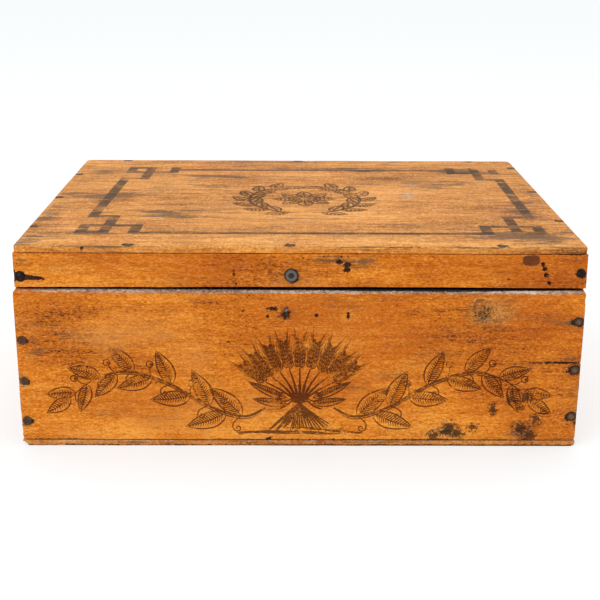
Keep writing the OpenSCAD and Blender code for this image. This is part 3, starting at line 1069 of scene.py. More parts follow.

# %% [markdown]
# ## The knot, the rim and the foot of the front
# A knot shows at the upper right, with open rings round it. The upper rim was rubbed grey by hands, and
# dirt has gathered in the seam at the foot. The top of the board behind the rim, under the lid's rail, is
# painted near black as shade. These follow lines and rings, so each gets a function of its own. All the
# marks are kept in front_marks, because the print on the front needs them again.

# %% Mark the front
KNOT = on_front(115.8, 91.9)
KNOT_WIDE, KNOT_TALL = 9 * MM, 8 * MM
left_nails = [nail for nail in front_nails if nail.x < 0]
right_nails = [nail for nail in front_nails if nail.x > 0]
nail_blots = round_nails(left_nails, (4.8, SKIN, 4.2), 1.2) + round_nails(right_nails, NAIL_STAIN)
for nail in front_nails:
    beside = Vector((2.2 * MM if nail.x < 0 else -2.8 * MM, 0, -0.4 * MM))
    nail_blots.append((nail + beside, (3.6, SKIN, 3.2), 1.4))
front_blots = strongest(nail_blots + spots_on(on_front, FRONT_STAINS))
smudges = strongest(spots_on(on_front, SMUDGES))
front_smears = strongest(round_nails(front_nails, NAIL_HALO, 0.7) + spots_on(on_front, FRONT_SMEARS))
front_edges = rubbed_edges("front_board")


def knot(p, rings):
    """Open arcs round the knot, each given by its share of the knot's reach and its strength."""
    across, up = (p[:, 0] - KNOT.x) / KNOT_WIDE, (p[:, 2] - KNOT.z) / KNOT_TALL
    turn = np.arctan2(up, across)
    out = np.hypot(across, up) * (1 + 0.16 * np.sin(2 * turn + 0.7) + 0.12 * np.sin(3 * turn - 1.0))
    bands = [
        s * np.maximum(0.0, 1 - np.abs(out - at) / 0.2) * np.cos((turn + 4 * at) / 2) ** 2
        for at, s in rings
    ]
    return np.max(bands, axis=0)


def front_wear(p):
    """Rubbed edges, the rim that hands wore grey and a few flecks in the knot."""
    wide = varying(p, {-50: 2.45, 20: 2.75}) * MM
    rim = step(p[:, 2], front_high.z - wide, front_high.z - wide + 1.4 * MM)
    handled = 0.5 + 0.65 * step(np.abs(p[:, 0] - 10 * MM), 185 * MM, 140 * MM)
    flecks = 0.6 * knot(p, [(0.55, 1.0), (1.0, 0.9)])
    return np.max([front_edges(p), handled * rim, flecks], axis=0)


def front_stain(p):
    """The blots, the dirt in the seam at the foot, painted shade on the ledge under the lid and the core of
    the knot.
    """
    in_seam = varying(p, {-140: 0.6, -120: 0.3, -60: 0.3, -30: 0.64, 100: 0.66, 130: 0.45, 150: 0.2})
    foot = in_seam * step(p[:, 2], front_low.z + 2.6 * MM, front_low.z + 0.2 * MM)
    # Painted shade: the top of the board under the lid's rail is darkened as its shadow, from this depth
    # behind the face on.
    shaded_depth = varying(p, {-100: 1.9, -50: 1.6, 0: 1.2, 50: 0.7, 110: 0.5, 140: 1.2, 180: 1.6}) * MM
    painted_shade_on_ledge = step(p[:, 1] - shaded_depth, front_low.y, front_low.y + 0.8 * MM) * (
        p[:, 2] > front_high.z - 2.6 * MM
    )
    core = knot(p, [(0.3, 0.8), (0.7, 0.66)])
    return np.max([front_blots(p), foot, 1.05 * painted_shade_on_ledge, core], axis=0)


front_marks = {
    "wear": front_wear,
    "stain": front_stain,
    "smear": lambda p: np.maximum(front_smears(p), knot(p, [(0.05, 0.8), (0.4, 1.0), (0.85, 0.9)])),
    "crackled": lambda p: np.maximum(smudges(p), 0.8 * blot(p, KNOT, (11.0, FAR, 10.0))),
    "bleached": lambda p: 0.8 * step(blot(p, KNOT + Vector((5 * MM, 0, 0)), (20.0, FAR, 12.0)), 0.0, 0.6),
    "raw": bare_side("front_board", 1, 1),
    "shade": total(spots_on(on_front, FRONT_SHADES)),
}
mark(front_board, **front_marks)
print("marks on the front:", list(front_marks))

# %% [markdown]
# ## Marks on the back, the sides and the bottom
# The other boards were handled less. Their edges are rubbed, damp has darkened the ends of the side boards,
# dirt lies where the lid rests on them, and the planks carry a painted contact shadow along the edge on
# which the box stands.
# Inside, all of them are bare.

# %% Mark the back and the sides
mark(
    back_board,
    wear=rubbed_edges("back_board"),
    stain=strongest(round_nails(back_nails, NAIL_STAIN)),
    smear=seat("back_board", "top"),
    raw=bare_side("back_board", 1, -1),
)
for piece, node, towards in ((left_side, "left_side_board", 1), (right_side, "right_side_board", -1)):
    low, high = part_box(node)
    middle = (low + high) / 2
    damp = [
        (Vector((middle.x, low.y, middle.z)), (FAR, 9.0, 70.0), 0.5),
        (Vector((middle.x, high.y, middle.z)), (FAR, 9.0, 70.0), 0.5),
        (Vector((middle.x, 30 * MM, low.z)), (FAR, 60.0, 9.0), 0.6),
        (Vector((middle.x, -50 * MM, 70 * MM)), (FAR, 26.0, 7.0), 0.4),
    ]
    mark(
        piece,
        wear=rubbed_edges(node),
        stain=strongest(damp),
        smear=seat(node, "top"),
        raw=bare_side(node, 0, towards),
    )
print("boards marked:", back_board.name, left_side.name, right_side.name)

# %% Mark the planks
plank_nails = strongest(round_nails(bottom_nails, (9.0, 7.0, 3.5), 1.3))


def outside(p):
    """1 where a plank's end or edge shows on the outside of the box, 0 elsewhere."""
    return (np.abs(p[:, 1]) > 132 * MM) + (np.abs(p[:, 0]) > 178 * MM)


def plank_stain(p):
    """Stains round the nails, and a painted contact shadow along the lower outside edge, stronger towards the
    right.
    """
    # Painted shadow: the dark line along the lower outside edge stands for the contact shadow on what the box
    # stands on.
    contact_shadow = (0.8 + 0.4 * step(p[:, 0], -20 * MM, 60 * MM)) * step(p[:, 2], 1.4 * MM, 0.4 * MM)
    return np.maximum(plank_nails(p), contact_shadow * outside(p))


def seam_dirt(p):
    """Dirt beside the seams between the planks."""
    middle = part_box("bottom_plank_middle")
    off = np.minimum(np.abs(p[:, 1] - middle[0].y), np.abs(p[:, 1] - middle[1].y))
    return 0.9 * step(off, 1.6 * MM, 0.4 * MM)


for plank, node in zip(planks, PLANK_SEAMS):
    mark(
        plank,
        wear=lambda p, edges=rubbed_edges(node, 0.6): edges(p) * outside(p),
        stain=plank_stain,
        smear=seam_dirt,
        bleached=lambda p: np.full(len(p), 0.7),
        raw=lambda p: 1.0 - outside(p),
    )
print("planks marked:", len(planks))

# %% [markdown]
# ## Marks on the lid
# The lid took most of the damp and the light, so it is bleached, smeared and scuffed, and its print has
# faded in places. The lists work like those of the front, with X and Y on the lid.

# %% Spots on the lid
LID_SMEARS = [
    ((-146.0, 0.0), (52.0, 20.0), 0.95),
    ((-128.0, 8.0), (34.0, 14.0), 0.95),
    ((-66.0, 71.0), (52.0, 16.0), 0.75),
    ((-70.0, 32.0), (64.0, 10.0), 0.8),
    ((-85.0, -54.0), (46.0, 24.0), 0.8),
    ((-157.0, 82.0), (36.0, 12.0), 0.8),
    ((-170.0, -57.0), (16.0, 50.0), 0.75),
    ((-172.0, -118.0), (16.0, 22.0), 0.8),
    ((-140.0, -104.0), (50.0, 14.0), 0.7),
    ((125.0, 94.0), (44.0, 16.0), 0.9),
    ((140.0, -108.0), (80.0, 24.0), 0.95),
    ((60.0, 88.0), (90.0, 14.0), 0.62),
    ((100.0, 46.0), (70.0, 30.0), 0.7),
    ((160.0, -40.0), (26.0, 50.0), 0.65),
    ((20.0, 99.0), (110.0, 8.0), 0.7),
    ((172.0, 20.0), (12.0, 80.0), 0.65),
    ((0.0, 128.0), (190.0, 12.0), 0.6),
]
LID_STAINS = [
    ((-135.3, -134.0), (1.2, 1.4), 1.5),
    ((-131.0, 6.0), (12.0, 7.0), 0.5),
    ((-160.0, -6.0), (9.0, 7.0), 0.5),
]
LID_SCUFFS = [
    ((86.0, 40.0), (12.0, 26.0), 0.68),
    ((80.0, 5.0), (16.0, 34.0), 0.68),
    ((118.0, 4.0), (9.0, 8.0), 0.6),
    ((-48.0, -32.0), (18.0, 12.0), 0.55),
    ((55.5, -98.0), (3.5, 7.0), 0.9),
    ((152.0, -119.0), (10.0, 7.0), 0.7),
]
FADED_PRINT = [
    ((138.0, -102.0), (34.0, 14.0), 1.2),
    ((152.0, 104.0), (22.0, 16.0), 1.5),
    ((116.0, 92.0), (22.0, 16.0), 0.8),
    ((-150.0, 104.0), (16.0, 20.0), 0.5),
    ((-150.0, -104.0), (28.0, 16.0), 1.0),
]
LID_SHADES = [
    ((0.0, -128.0), (260.0, 34.0), -1.0),
    ((-60.0, -60.0), (120.0, 40.0), -0.35),
    ((-150.0, -122.0), (40.0, 18.0), -0.6),
    ((100.0, -118.0), (24.0, 14.0), 0.6),
    ((0.0, 78.0), (100.0, 26.0), -0.7),
    ((110.0, 70.0), (80.0, 44.0), 0.45),
    ((150.0, -96.0), (60.0, 30.0), 0.35),
    ((40.0, -60.0), (60.0, 26.0), -0.3),
    ((70.0, 20.0), (40.0, 20.0), -0.25),
    ((-110.0, 20.0), (110.0, 110.0), -0.5),
]
print("spots on the lid:", len(LID_SMEARS + LID_STAINS + LID_SCUFFS + FADED_PRINT + LID_SHADES))

# %% Mark the lid
lid_edges = rubbed_edges("lid_top", 0.4)
lid_smears = strongest(spots_on(on_lid, LID_SMEARS))
lid_scuffs = strongest(spots_on(on_lid, LID_SCUFFS))
lid_shades = total(spots_on(on_lid, LID_SHADES))
lid_blots = strongest(round_nails(lid_nails, LID_NAIL_STAIN, 1.2) + spots_on(on_lid, LID_STAINS))


def front_arris(p):
    """1 on the rounded upper front edge of the lid, 0 away from it."""
    off = np.hypot(p[:, 1] - lid_low.y - 0.7 * MM, p[:, 2] - lid_high.z + 0.2 * MM)
    return step(off, 1.1 * MM, 0.4 * MM)


def lid_stain(p):
    """The blots and a dirty line along the upper front edge, towards the right."""
    line = varying(p, {30: 0.0, 40: 0.4, 84: 0.4, 92: 0.3, 180: 0.25}) * front_arris(p)
    return np.maximum(lid_blots(p), line)


def lid_smear(p):
    """The smears and a thinner line of dirt along the same edge."""
    return np.maximum(lid_smears(p), varying(p, {0: 0.42, 20: 0.6, 130: 0.6, 150: 0.4}) * front_arris(p))


def lid_shade(p):
    """Light and dark places on top, and an edge that grows darker towards the right."""
    edge_face = step(p[:, 2], lid_high.z - 0.7 * MM, lid_high.z - 1.5 * MM)
    return lid_shades(p) * (1 - edge_face) + varying(p, {80: -0.85, 110: 0.1, 160: 0.75}) * edge_face


lid_marks = {
    "wear": lambda p: np.maximum(lid_edges(p), lid_scuffs(p)),
    "stain": lid_stain,
    "smear": lid_smear,
    "bleached": lambda p: 0.5 + 0.4 * step(p[:, 2], lid_high.z - 1.4 * MM, lid_high.z - 0.5 * MM),
    "raw": bare_side("lid_top", 2, -1),
    "shade": lid_shade,
    "faded": strongest(spots_on(on_lid, FADED_PRINT)),
}
mark(lid_top, **lid_marks)
print("marks on the lid:", list(lid_marks))

# %% [markdown]
# ## Marks on the rails
# The front rail is stained round its holes, in the torn place, in the wedge that split off and along its
# lower edge, and a painted shadow lies round the rosette. A square place near its right end was filled long
# ago. The other rails only show rubbed edges, damp ends and the dirt of the seam.

# %% Spots on the front rail
RAIL_STAINS_AND_SHADOW = [
    ((151.2, 124.0), (2.3, 2.3), 1.4),
    ((152.4, 120.7), (2.5, 2.4), 1.4),
    ((153.6, 116.8), (2.9, 2.4), 1.4),
    ((155.8, 111.8), (2.3, 2.2), 1.4),
    ((24.2, 124.9), (4.0, 3.2), 1.4),
    ((29.2, 123.2), (4.4, 3.2), 1.3),
    ((29.0, 119.8), (4.4, 2.8), 1.4),
    # Painted shadow: this blot round the rosette, a little right of and below its middle, stands for the
    # shadow that the plate casts.
    ((-4.6, 114.9), (6.2, 6.2), 1.5),
    ((-41.6, 117.5), (2.2, 6.4), 0.95),
    ((-40.1, 111.3), (2.0, 3.4), 0.95),
    ((172.0, 130.0), (14.0, 1.6), 0.8),
    *[((x, 128.8), (1.5, 1.4), 1.2) for x in (14.0, 18.0, 22.0, 25.6, 30.0)],
    *[
        (at, (1.2, 1.1), 1.1)
        for at in ((-36.0, 118.0), (-30.0, 122.0), (2.0, 127.0), (60.0, 121.0), (-90.0, 119.0))
    ],
]
RAIL_SMEARS = [
    ((22.0, 126.5), (22.0, 5.5), 0.85),
    ((38.0, 125.5), (26.0, 7.0), 0.6),
    ((-38.0, 110.0), (30.0, 4.0), 0.6),
    ((98.0, 121.0), (9.0, 8.0), 0.45),
    ((168.0, 112.0), (12.0, 10.0), 0.4),
    ((-172.0, 122.0), (9.0, 12.0), 0.5),
]
RAIL_SHADES = [
    ((170.0, 118.0), (16.0, 20.0), 0.3),
    ((-52.0, 116.0), (30.0, 22.0), 0.2),
    ((15.0, 116.0), (30.0, 16.0), 0.1),
    ((90.0, 118.0), (90.0, 30.0), -0.5),
    ((-130.0, 120.0), (90.0, 30.0), -0.85),
    ((-168.0, 120.0), (24.0, 20.0), 0.4),
]
print("spots on the rail:", len(RAIL_STAINS_AND_SHADOW + RAIL_SMEARS + RAIL_SHADES))

# %% Mark the front rail
RAIL_RUB = (0.4, 1.8 * MM)
WEDGE_TIP, WEDGE_END = -160 * MM, -181 * MM
rail_blots_and_shadow = strongest(round_nails(rail_nails, (6.2, SKIN, 5.2), 1.3) + spots_on(on_rail, RAIL_STAINS_AND_SHADOW))


def filling(p):
    """1 inside a filled place with straight sides and round corners, 0 outside."""
    middle = on_rail(143.6, 126.4)
    off = ((p[:, 0] - middle.x) / (5.2 * MM)) ** 4 + ((p[:, 2] - middle.z) / (3.4 * MM)) ** 4
    return step(off, 1.5, 0.5) * (p[:, 1] < middle.y + SKIN * MM)


def rail_stain(p):
    """The blots, among them a painted shadow round the rosette, the wedge that split off at the left end,
    its floor, and the underside of the rail.
    """
    along = step(p[:, 0], WEDGE_TIP, WEDGE_END)
    skin = p[:, 1] < rail_low.y + 2 * MM
    wedge = 1.6 * (np.abs(p[:, 2] - (113.9 + 1.2 * along) * MM) < (0.4 + 2.7 * along) * MM) * (along > 0)
    deep = (
        1.8
        * (p[:, 1] > rail_low.y + 0.25 * MM)
        * (p[:, 0] < WEDGE_TIP)
        * (np.abs(p[:, 2] - 115 * MM) < 5 * MM)
    )
    below = step(p[:, 2], rail_low.z + 0.3 * MM, rail_low.z) * (p[:, 1] > rail_low.y + 0.6 * MM)
    return np.max([rail_blots_and_shadow(p), wedge * skin, deep * skin, below], axis=0)


mark(
    front_rail,
    wear=rubbed_edges("lid_front_rail", *RAIL_RUB),
    stain=rail_stain,
    smear=strongest(spots_on(on_rail, RAIL_SMEARS)),
    raw=bare_side("lid_front_rail", 1, 1),
    shade=total(spots_on(on_rail, RAIL_SHADES)),
    filled=filling,
)
print("marked:", front_rail.name)

# %% Mark the other rails
mark(
    back_rail,
    wear=rubbed_edges("lid_back_rail", *RAIL_RUB),
    stain=strongest(round_nails(back_rail_nails, (9.0, SKIN, 6.5))),
    smear=seat("lid_back_rail", "foot"),
    raw=bare_side("lid_back_rail", 1, -1),
)
for piece, node, towards in ((left_rail, "lid_left_rail", 1), (right_rail, "lid_right_rail", -1)):
    low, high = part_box(node)
    middle = (low + high) / 2
    damp = [(Vector((middle.x, y, middle.z)), (FAR, 10.0, 20.0), 0.55) for y in (low.y, high.y)]
    mark(
        piece,
        wear=rubbed_edges(node, *RAIL_RUB),
        stain=strongest(damp),
        smear=seat(node, "foot"),
        raw=bare_side(node, 0, towards),
    )
print("rails marked:", len(rails))

# %% [markdown]
# ## The fret border on the lid
# A Greek fret runs round the lid: a plain band that turns back on itself at each corner. It is a common
# border. It could be modelled as a film of faces, but its edges have worn away, so it is drawn here with
# sums alone. Both axes are folded about the middle of the print, so one corner serves for four, and the
# signed distance to the nearest bar gives an edge that noise can wear. The print was stamped a little to
# the right of the lid's middle and slightly out of square, which two small slopes repeat.


# %% The fret
def bar_distance(u, v, u0, u1, v0, v1):
    """How far a place lies outside a bar; below zero inside it."""
    across = abs(u - (u0 + u1) / 2) - (u1 - u0) / 2
    down = abs(v - (v0 + v1) / 2) - (v1 - v0) / 2
    return across.math("MAXIMUM", down)


def fret(u, v, sunk):
    """The distance to the border in one corner, from places measured inwards from its side and front bands.
    The long band along the front or the back lies a little further in, by the sunk value."""
    wide, thin = 3.6 * MM, 2.75 * MM
    inner, last = 15 * MM, 34.5 * MM
    second, third = 16.5 * MM, 40.5 * MM
    bars = [
        (0, 0, third, 200 * MM),
        (0, inner, third, third),
        (inner, inner, 0, third),
        (0, inner, 0, 0),
        (0, 0, 0, second),
        (0, last, second, second),
        (last, last, 0, second),
    ]
    gaps = [bar_distance(u, v, u0 - wide, u1 + wide, v0 - thin, v1 + thin) for u0, u1, v0, v1 in bars]
    long_band = bar_distance(u, v - sunk, last - wide, 300 * MM, -0.85 * thin, 0.85 * thin)
    return least([long_band, *gaps])


print("fret ready")

# %% [markdown]
# ## The lid's finish
# The lid's wood is coarser and dirtier than the rest. The border lies on it as a thin brown ink that has
# gone from the hard fibres, in patches, and most of all where the lid is marked as faded.

# %% Paint the lid
LID_WOOD = {"axes": "xyz", "seed": 11.0, "grime": 0.55, "coarse": 1.4, "bold": 1.6}
BORDER_INK = tone(60, 46, 35)
BORDER_HALF = (147.7 * MM, 100.5 * MM)
BORDER_MIDDLE = (9.5 * MM, 0.5 * MM)
BORDER_LEAN, BORDER_TAPER = 0.024, 0.018
f, colour, roughness, height = old_wood("lid_wood_finish", **LID_WOOD)
fold_u = BORDER_HALF[0] - f.y * BORDER_TAPER - abs(f.x - f.y * BORDER_LEAN - BORDER_MIDDLE[0])
fold_v = BORDER_HALF[1] - abs(f.y - BORDER_MIDDLE[1])
ragged = f.noise(f.place, scale=420, detail=3, roughness=0.65)
patchy = f.noise(f.vector(f.x * 40, f.y * 110, f.z * 40), detail=5, roughness=0.7)
sunk = f.smooth(f.y, 0.0, 20 * MM) * (9.5 * MM) - 2 * MM
drawn = f.smooth(fret(fold_u, fold_v, sunk) + (ragged - 0.5) * (1.8 * MM), 0.6 * MM, -0.4 * MM)
on_top = f.smooth(f.z, lid_high.z - 1.2 * MM, lid_high.z - 0.6 * MM)
fibre = f.smooth(f.noise(f.vector(f.x * 30, f.y * 420, f.z * 30), detail=3, roughness=0.65), 0.5, 0.68)
left = (0.25 + 0.75 * f.smooth(patchy, 0.3, 0.54)) * f.smooth(patchy - f.attribute("faded") * 0.5, 0.0, 0.2)
ink = drawn * on_top * left * (0.9 - 0.4 * fibre)
coat(lid_top, (f, f.mix(ink, colour, BORDER_INK), roughness, height))
print("lid nodes:", len(f.tree.nodes))

# %% [markdown]
# ## Varnish on the other boards
# The rest of the boards take the recipe as it is. Each has its own seed, so no two boards show the same
# figure, and the grain runs the long way of every board. The front rail has an old filling in it, so a dark
# tone is laid there.

# %% Paint the other boards
FRONT_WOOD = {"axes": "xzy", "seed": 0.0}
FILLER = tone(78, 41, 26)
coat(front_board, old_wood("front_wood", **FRONT_WOOD))
coat(back_board, old_wood("back_wood", "xzy", 23.0))
coat(left_side, old_wood("left_side_wood", "yzx", 31.0))
coat(right_side, old_wood("right_side_wood", "yzx", 47.0))
f, colour, roughness, height = old_wood("front_rail_wood", "xzy", 5.0)
filled = f.smooth(f.attribute("filled") + (f.noise(f.place, scale=700, detail=3) - 0.5) * 0.9, 0.3, 0.7)
coat(front_rail, (f, f.mix(filled * 0.86, colour, FILLER), roughness, height))
coat(back_rail, old_wood("back_rail_wood", "xzy", 61.0))
coat(left_rail, old_wood("left_rail_wood", "yzx", 67.0))
coat(right_rail, old_wood("right_rail_wood", "yzx", 71.0))
for number, plank in enumerate(planks):
    coat(plank, old_wood("plank_wood_" + str(number), "xyz", 80.0 + 7 * number))
print("painted boards:", len(boards))

# %% [markdown]
# ## The printed ornament
# The front and the lid carry a faded brown print in the manner of an engraving: outlines, ribs and close
# hatching. Noise can't draw that, so it is drawn stroke by stroke, as an engraver would cut it. A stroke is
# a row of points with a half width at each, in millimetres, and a few helpers turn it into leaves, berries
# and ears of corn.


# %% Strokes
def through(points, count):
    """Points of a smooth line that goes through the given ones."""
    ends = [points[0], *points, points[-1]]
    spans = len(points) - 1
    line = []
    for i in range(count):
        at = i * spans / (count - 1)
        k = min(int(at), spans - 1)
        t = at - k
        a, b, c, d = [np.array(p) for p in ends[k : k + 4]]
        line.append(
            0.5 * (2 * b + (c - a) * t + (2 * a - 5 * b + 4 * c - d) * t**2 + (3 * b - a - 3 * c + d) * t**3)
        )
    return line


def stroke(lines, path, width, start=0.35, end=0.25):
    """Adds a stroke that swells from its start and thins out towards its end."""
    last = len(path) - 1
    swell = [min(1.0, start + 3 * i / last, end + 3 * (last - i) / last) for i in range(last + 1)]
    lines.append([(u, v, width / 2 * s) for (u, v), s in zip(path, swell)])


def heading(path, at):
    """The direction of a path at one of its points."""
    before, after = path[max(at - 1, 0)], path[min(at + 1, len(path) - 1)]
    return math.atan2(after[1] - before[1], after[0] - before[0])


def polar(at, angle, reach):
    """The place at an angle and a distance from another."""
    return (at[0] + reach * math.cos(angle), at[1] + reach * math.sin(angle))


print("stroke tools ready")


# %% Leaves, berries and tendrils
def leaf(lines, base, angle, length, half, curl, dark, weight=1.0):
    """A pointed leaf with two margins, a rib and hatching that is longer on its dark side."""

    def place(t, side):
        off = curl * length * t * t + side * half * max(math.sin(math.pi * t**0.8), 0.0) ** 0.9
        return polar(polar(base, angle, t * length), angle + math.pi / 2, off)

    for side in (-1, 1):
        stroke(lines, [place(i / 12, side) for i in range(13)], 1.0 * weight)
    stroke(lines, [place(i / 8, 0) for i in range(9)], 0.9 * weight, end=0.1)
    steps = int(length / (1.75 * weight))
    for i in range(1, steps):
        t = 0.05 + 0.88 * i / steps
        for side, reach in ((dark, 0.97), (-dark, 0.6)):
            path = [place(min(t + 0.08 * s, 0.99), side * reach * s) for s in (0.06, 0.5, 1.0)]
            stroke(lines, path, (0.9 if side == dark else 0.62) * weight, start=0.9, end=0.3)


def berry(lines, at, radius):
    """A round berry, hatched on its right."""
    stroke(lines, [polar(at, k * math.pi / 5, radius) for k in range(11)], 0.8, 1, 1)
    for k in range(4):
        off = radius * (0.05 + 0.24 * k)
        half = math.sqrt(radius**2 - off**2) * 0.9
        side = at[0] + off
        stroke(lines, [(side, at[1] - half), (side + 0.15, at[1]), (side, at[1] + half * 0.6)], 0.6)


def tendril(lines, base, angle, length, turn):
    """A tendril that winds up tighter towards its end."""
    path = [base]
    for i in range(1, 25):
        share = i / 24
        path.append(polar(path[-1], angle + turn * 8.5 * share**2, length / 24 * (1.15 - 0.6 * share)))
    stroke(lines, path, 0.85, 0.8, 0.4)


print("drawing helpers ready")

# %% [markdown]
# ## A sheaf of corn
# The middle of the front shows a sheaf, as many trade prints of the time do: nine ears on stalks that cross
# below a cord, on a strip of ground. One function draws an ear, grain by grain, at each of nine angles.


# %% An ear of corn
def ear(lines, base, angle, length):
    """An ear of corn: grains in pairs up a stalk, each with a long beard."""
    pitch, grain_length, grain_half = 2.7, 5.6, 1.25
    count = int(length / pitch)
    for k in range(count):
        for side in (-1, 1):
            size = 1 - 0.35 * k / count
            root = polar(
                polar(base, angle, pitch * (k + (0.25 if side > 0 else 0))),
                angle + math.pi / 2,
                0.5 * side,
            )
            lean = angle + side * math.radians(27)
            tip = polar(root, lean, grain_length * size)
            for bulge in (-1, 1):
                shape = [(s / 5, bulge * grain_half * size * math.sin(math.pi * s / 5)) for s in range(6)]
                husk = [
                    polar(polar(root, lean, grain_length * size * s), lean + math.pi / 2, o)
                    for s, o in shape
                ]
                stroke(lines, husk, 0.85, 0.6, 0.6)
            stroke(lines, [polar(root, lean, grain_length * size * s) for s in (0.2, 0.5, 0.85)], 0.8)
            beard = 8.5 + 3 * math.sin(3 * k + side)
            stroke(
                lines,
                [polar(tip, angle + side * math.radians(13), beard * s) for s in (0, 0.5, 1)],
                0.5,
                0.8,
                0.1,
            )


print("ear ready")


# %% The sheaf and its ground
def sheaf(lines):
    """Nine ears on crossing stalks, held by a cord with a bow, and two leaves on each side."""
    tie = 34.0
    for k, fan in enumerate((-50, -37, -24, -12, 0, 12, 24, 37, 50)):
        share = fan / 50
        angle = math.radians(90 - fan)
        reach = 22 + 6 * math.cos(math.radians(fan) * 1.6)
        neck = (share * 4.6, tie)
        bow = (neck[0] + math.cos(angle) * reach * 0.4, tie + math.sin(angle) * reach * 0.36)
        base = (neck[0] + math.cos(angle) * reach * 0.98, tie + math.sin(angle) * reach * 0.74)
        foot = (-share * 19, 12.5 + 1.2 * math.cos(k * 2.1))
        knee = (-share * 6.6, 24.0)
        stroke(lines, through([foot, knee, neck, bow, base], 14), 1.2, 0.8, 0.6)
        for off in (-1.5, 1.6):
            low = [
                (foot[0] + off, foot[1] + 0.7 * off),
                (knee[0] + 0.7 * off, knee[1]),
                (neck[0] + 0.3 * off, tie),
            ]
            stroke(lines, through([*low, (bow[0] + 0.6 * off, bow[1])], 10), 0.8, 0.8, 0.2)
        ear(lines, base, angle, 19.5)
    for k in range(5):
        v = tie - 2.6 + 1.3 * k
        stroke(lines, through([(-5.8, v + 0.5), (0, v - 0.7), (5.8, v + 0.5)], 7), 0.95, 0.7, 0.7)
    for side in (-1, 1):
        loop = [(5, tie), (11, tie + 3.8), (14.5, tie - 0.3), (9, tie - 2.4), (5, tie)]
        for scale in (1.0, 0.86):
            stroke(lines, through([(side * (5 + (u - 5) * scale), v) for u, v in loop], 12), 1.0)
        stroke(
            lines, through([(side * 4.5, tie - 1.5), (side * 9.5, tie - 6), (side * 15, tie - 8.0)], 8), 1.2
        )
        for start, lean, length in ((-8.0, 18, 27), (-12.0, 2, 22)):
            angle = math.radians(90 - side * (90 - lean))
            leaf(lines, (side * 8.5, tie + start + 8), angle, length, 2.6, side * 0.12, side)


def ground(lines):
    """Short level strokes for the ground below the sheaf."""
    for k in range(60):
        share = (k * 0.618) % 1
        u = 76 * (share - 0.5)
        v = 8.6 + 5.0 * ((k * 0.3719) % 1) * (1 - abs(u) / 52)
        half = (4 + 7 * ((k * 0.7548) % 1)) * (1 - abs(u) / 80)
        path = [(u - half, v), (u - half * 0.3, v + 0.15), (u + half * 0.3, v - 0.1), (u + half, v)]
        stroke(lines, path, 0.9, 0.15, 0.15)


front_lines = []
sheaf(front_lines)
ground(front_lines)
print("strokes in the sheaf:", len(front_lines))

# %% [markdown]
# ## Leafy sprays and a wreath
# A spray runs from the sheaf to each end of the front, with leaves, berries and tendrils by turns, and a
# wreath round a flower lies in the middle of the lid. The same leaf serves for all of them. On the lid it
# is drawn with heavier strokes, because the lid is seen at a low angle.


# %% Sprays and wreath
def spray(lines, side):
    """A branch that runs outwards from the sheaf, with leaves and berries by turns."""
    bends = [(22, 27), (36, 21), (58, 28), (84, 44), (110, 52), (132, 46), (147, 34)]
    stem = through([(side * u, v) for u, v in bends], 40)
    stroke(lines, stem, 1.6, 0.8, 0.2)
    stroke(lines, [(u, v - 1.7) for u, v in stem[2:34]], 0.9)
    for k, at in enumerate(range(7, 39, 3)):
        up = side if k % 2 == 0 else -side
        base, along = stem[at], heading(stem, at)
        leaf(lines, base, along + up * math.radians(48), 31 - 0.32 * at, 6.2 - 0.06 * at, -0.15 * up, -up)
        if k % 2:
            lean = along - up * math.radians(60)
            stalk = [base, polar(base, lean + 0.3 * up, 3.5), polar(base, lean, 7.0)]
            stroke(lines, through(stalk, 5), 0.8)
            berry(lines, polar(base, lean, 8.8), 2.2)
        else:
            tendril(lines, base, along - up * math.radians(35), 30 - 0.3 * at, -up)
    leaf(lines, stem[-1], heading(stem, 39), 19, 4.2, 0.12 * side, side)


def wreath(lines):
    """Two leafy branches that close round a flower, measured from its middle."""
    for side in (-1, 1):
        turns = [math.radians(-84 + 160 * k / 30) for k in range(31)]
        branch = [(side * 40 * math.cos(a), 42 * math.sin(a)) for a in turns]
        stroke(lines, branch, 2.4)
        for k, at in enumerate(range(2, 30, 2)):
            up = side if k % 2 else -side
            leaf(lines, branch[at], heading(branch, at) + up * math.radians(40), 19, 4.4, -0.1 * up, up, 1.7)
    for k in range(8):
        leaf(lines, polar((0, 0), k * math.pi / 4, 3.6), k * math.pi / 4, 20, 5.4, 0.05, 1, 1.7)
    berry(lines, (0, 0), 3.6)


for side in (-1, 1):
    spray(front_lines, side)
lid_lines = []
wreath(lid_lines)
print("strokes:", len(front_lines), "on the front,", len(lid_lines), "on the lid")

# %% [markdown]
# ## Pressing the print
# Ink lies on wood as a film that is far thinner than a hair. Each stroke becomes a spline with a round
# bevel, all of them are turned into one mesh, and the mesh is pressed flat against its board. The film
# wears the board's own grain, darkened where ink is left, so worn places vanish into the wood.

# %% Press
FLATTENED = 0.1


def press(name, lines, lay, flat, body):
    """Makes one thin film of all the strokes. The lay turns a place of the drawing into one in space, and
    flat gives the axis along which the strokes are pressed and where on it their board lies."""
    curve = bpy.data.curves.new(name, "CURVE")
    curve.dimensions = "3D"
    curve.bevel_depth = 1.0
    curve.bevel_resolution = 0
    curve.use_fill_caps = True
    for line in lines:
        spline = curve.splines.new("POLY")
        spline.points.add(len(line) - 1)
        for point, (u, v, half) in zip(spline.points, line):
            point.co = (*lay(u * MM, v * MM), 1)
            point.radius = half * MM
    film = bpy.data.objects.new(name, curve)
    bpy.context.scene.collection.objects.link(film)
    only(film)
    bpy.ops.object.convert(target="MESH")
    film = bpy.context.object
    film.scale[flat[0]] = FLATTENED
    film.location[flat[0]] = flat[1]
    bpy.ops.object.transform_apply(location=True, rotation=True, scale=True)
    bpy.ops.object.mode_set(mode="EDIT")
    bpy.ops.mesh.select_all(action="SELECT")
    bpy.ops.mesh.normals_make_consistent(inside=False)
    bpy.ops.object.mode_set(mode="OBJECT")
    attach(film, body)
    return film


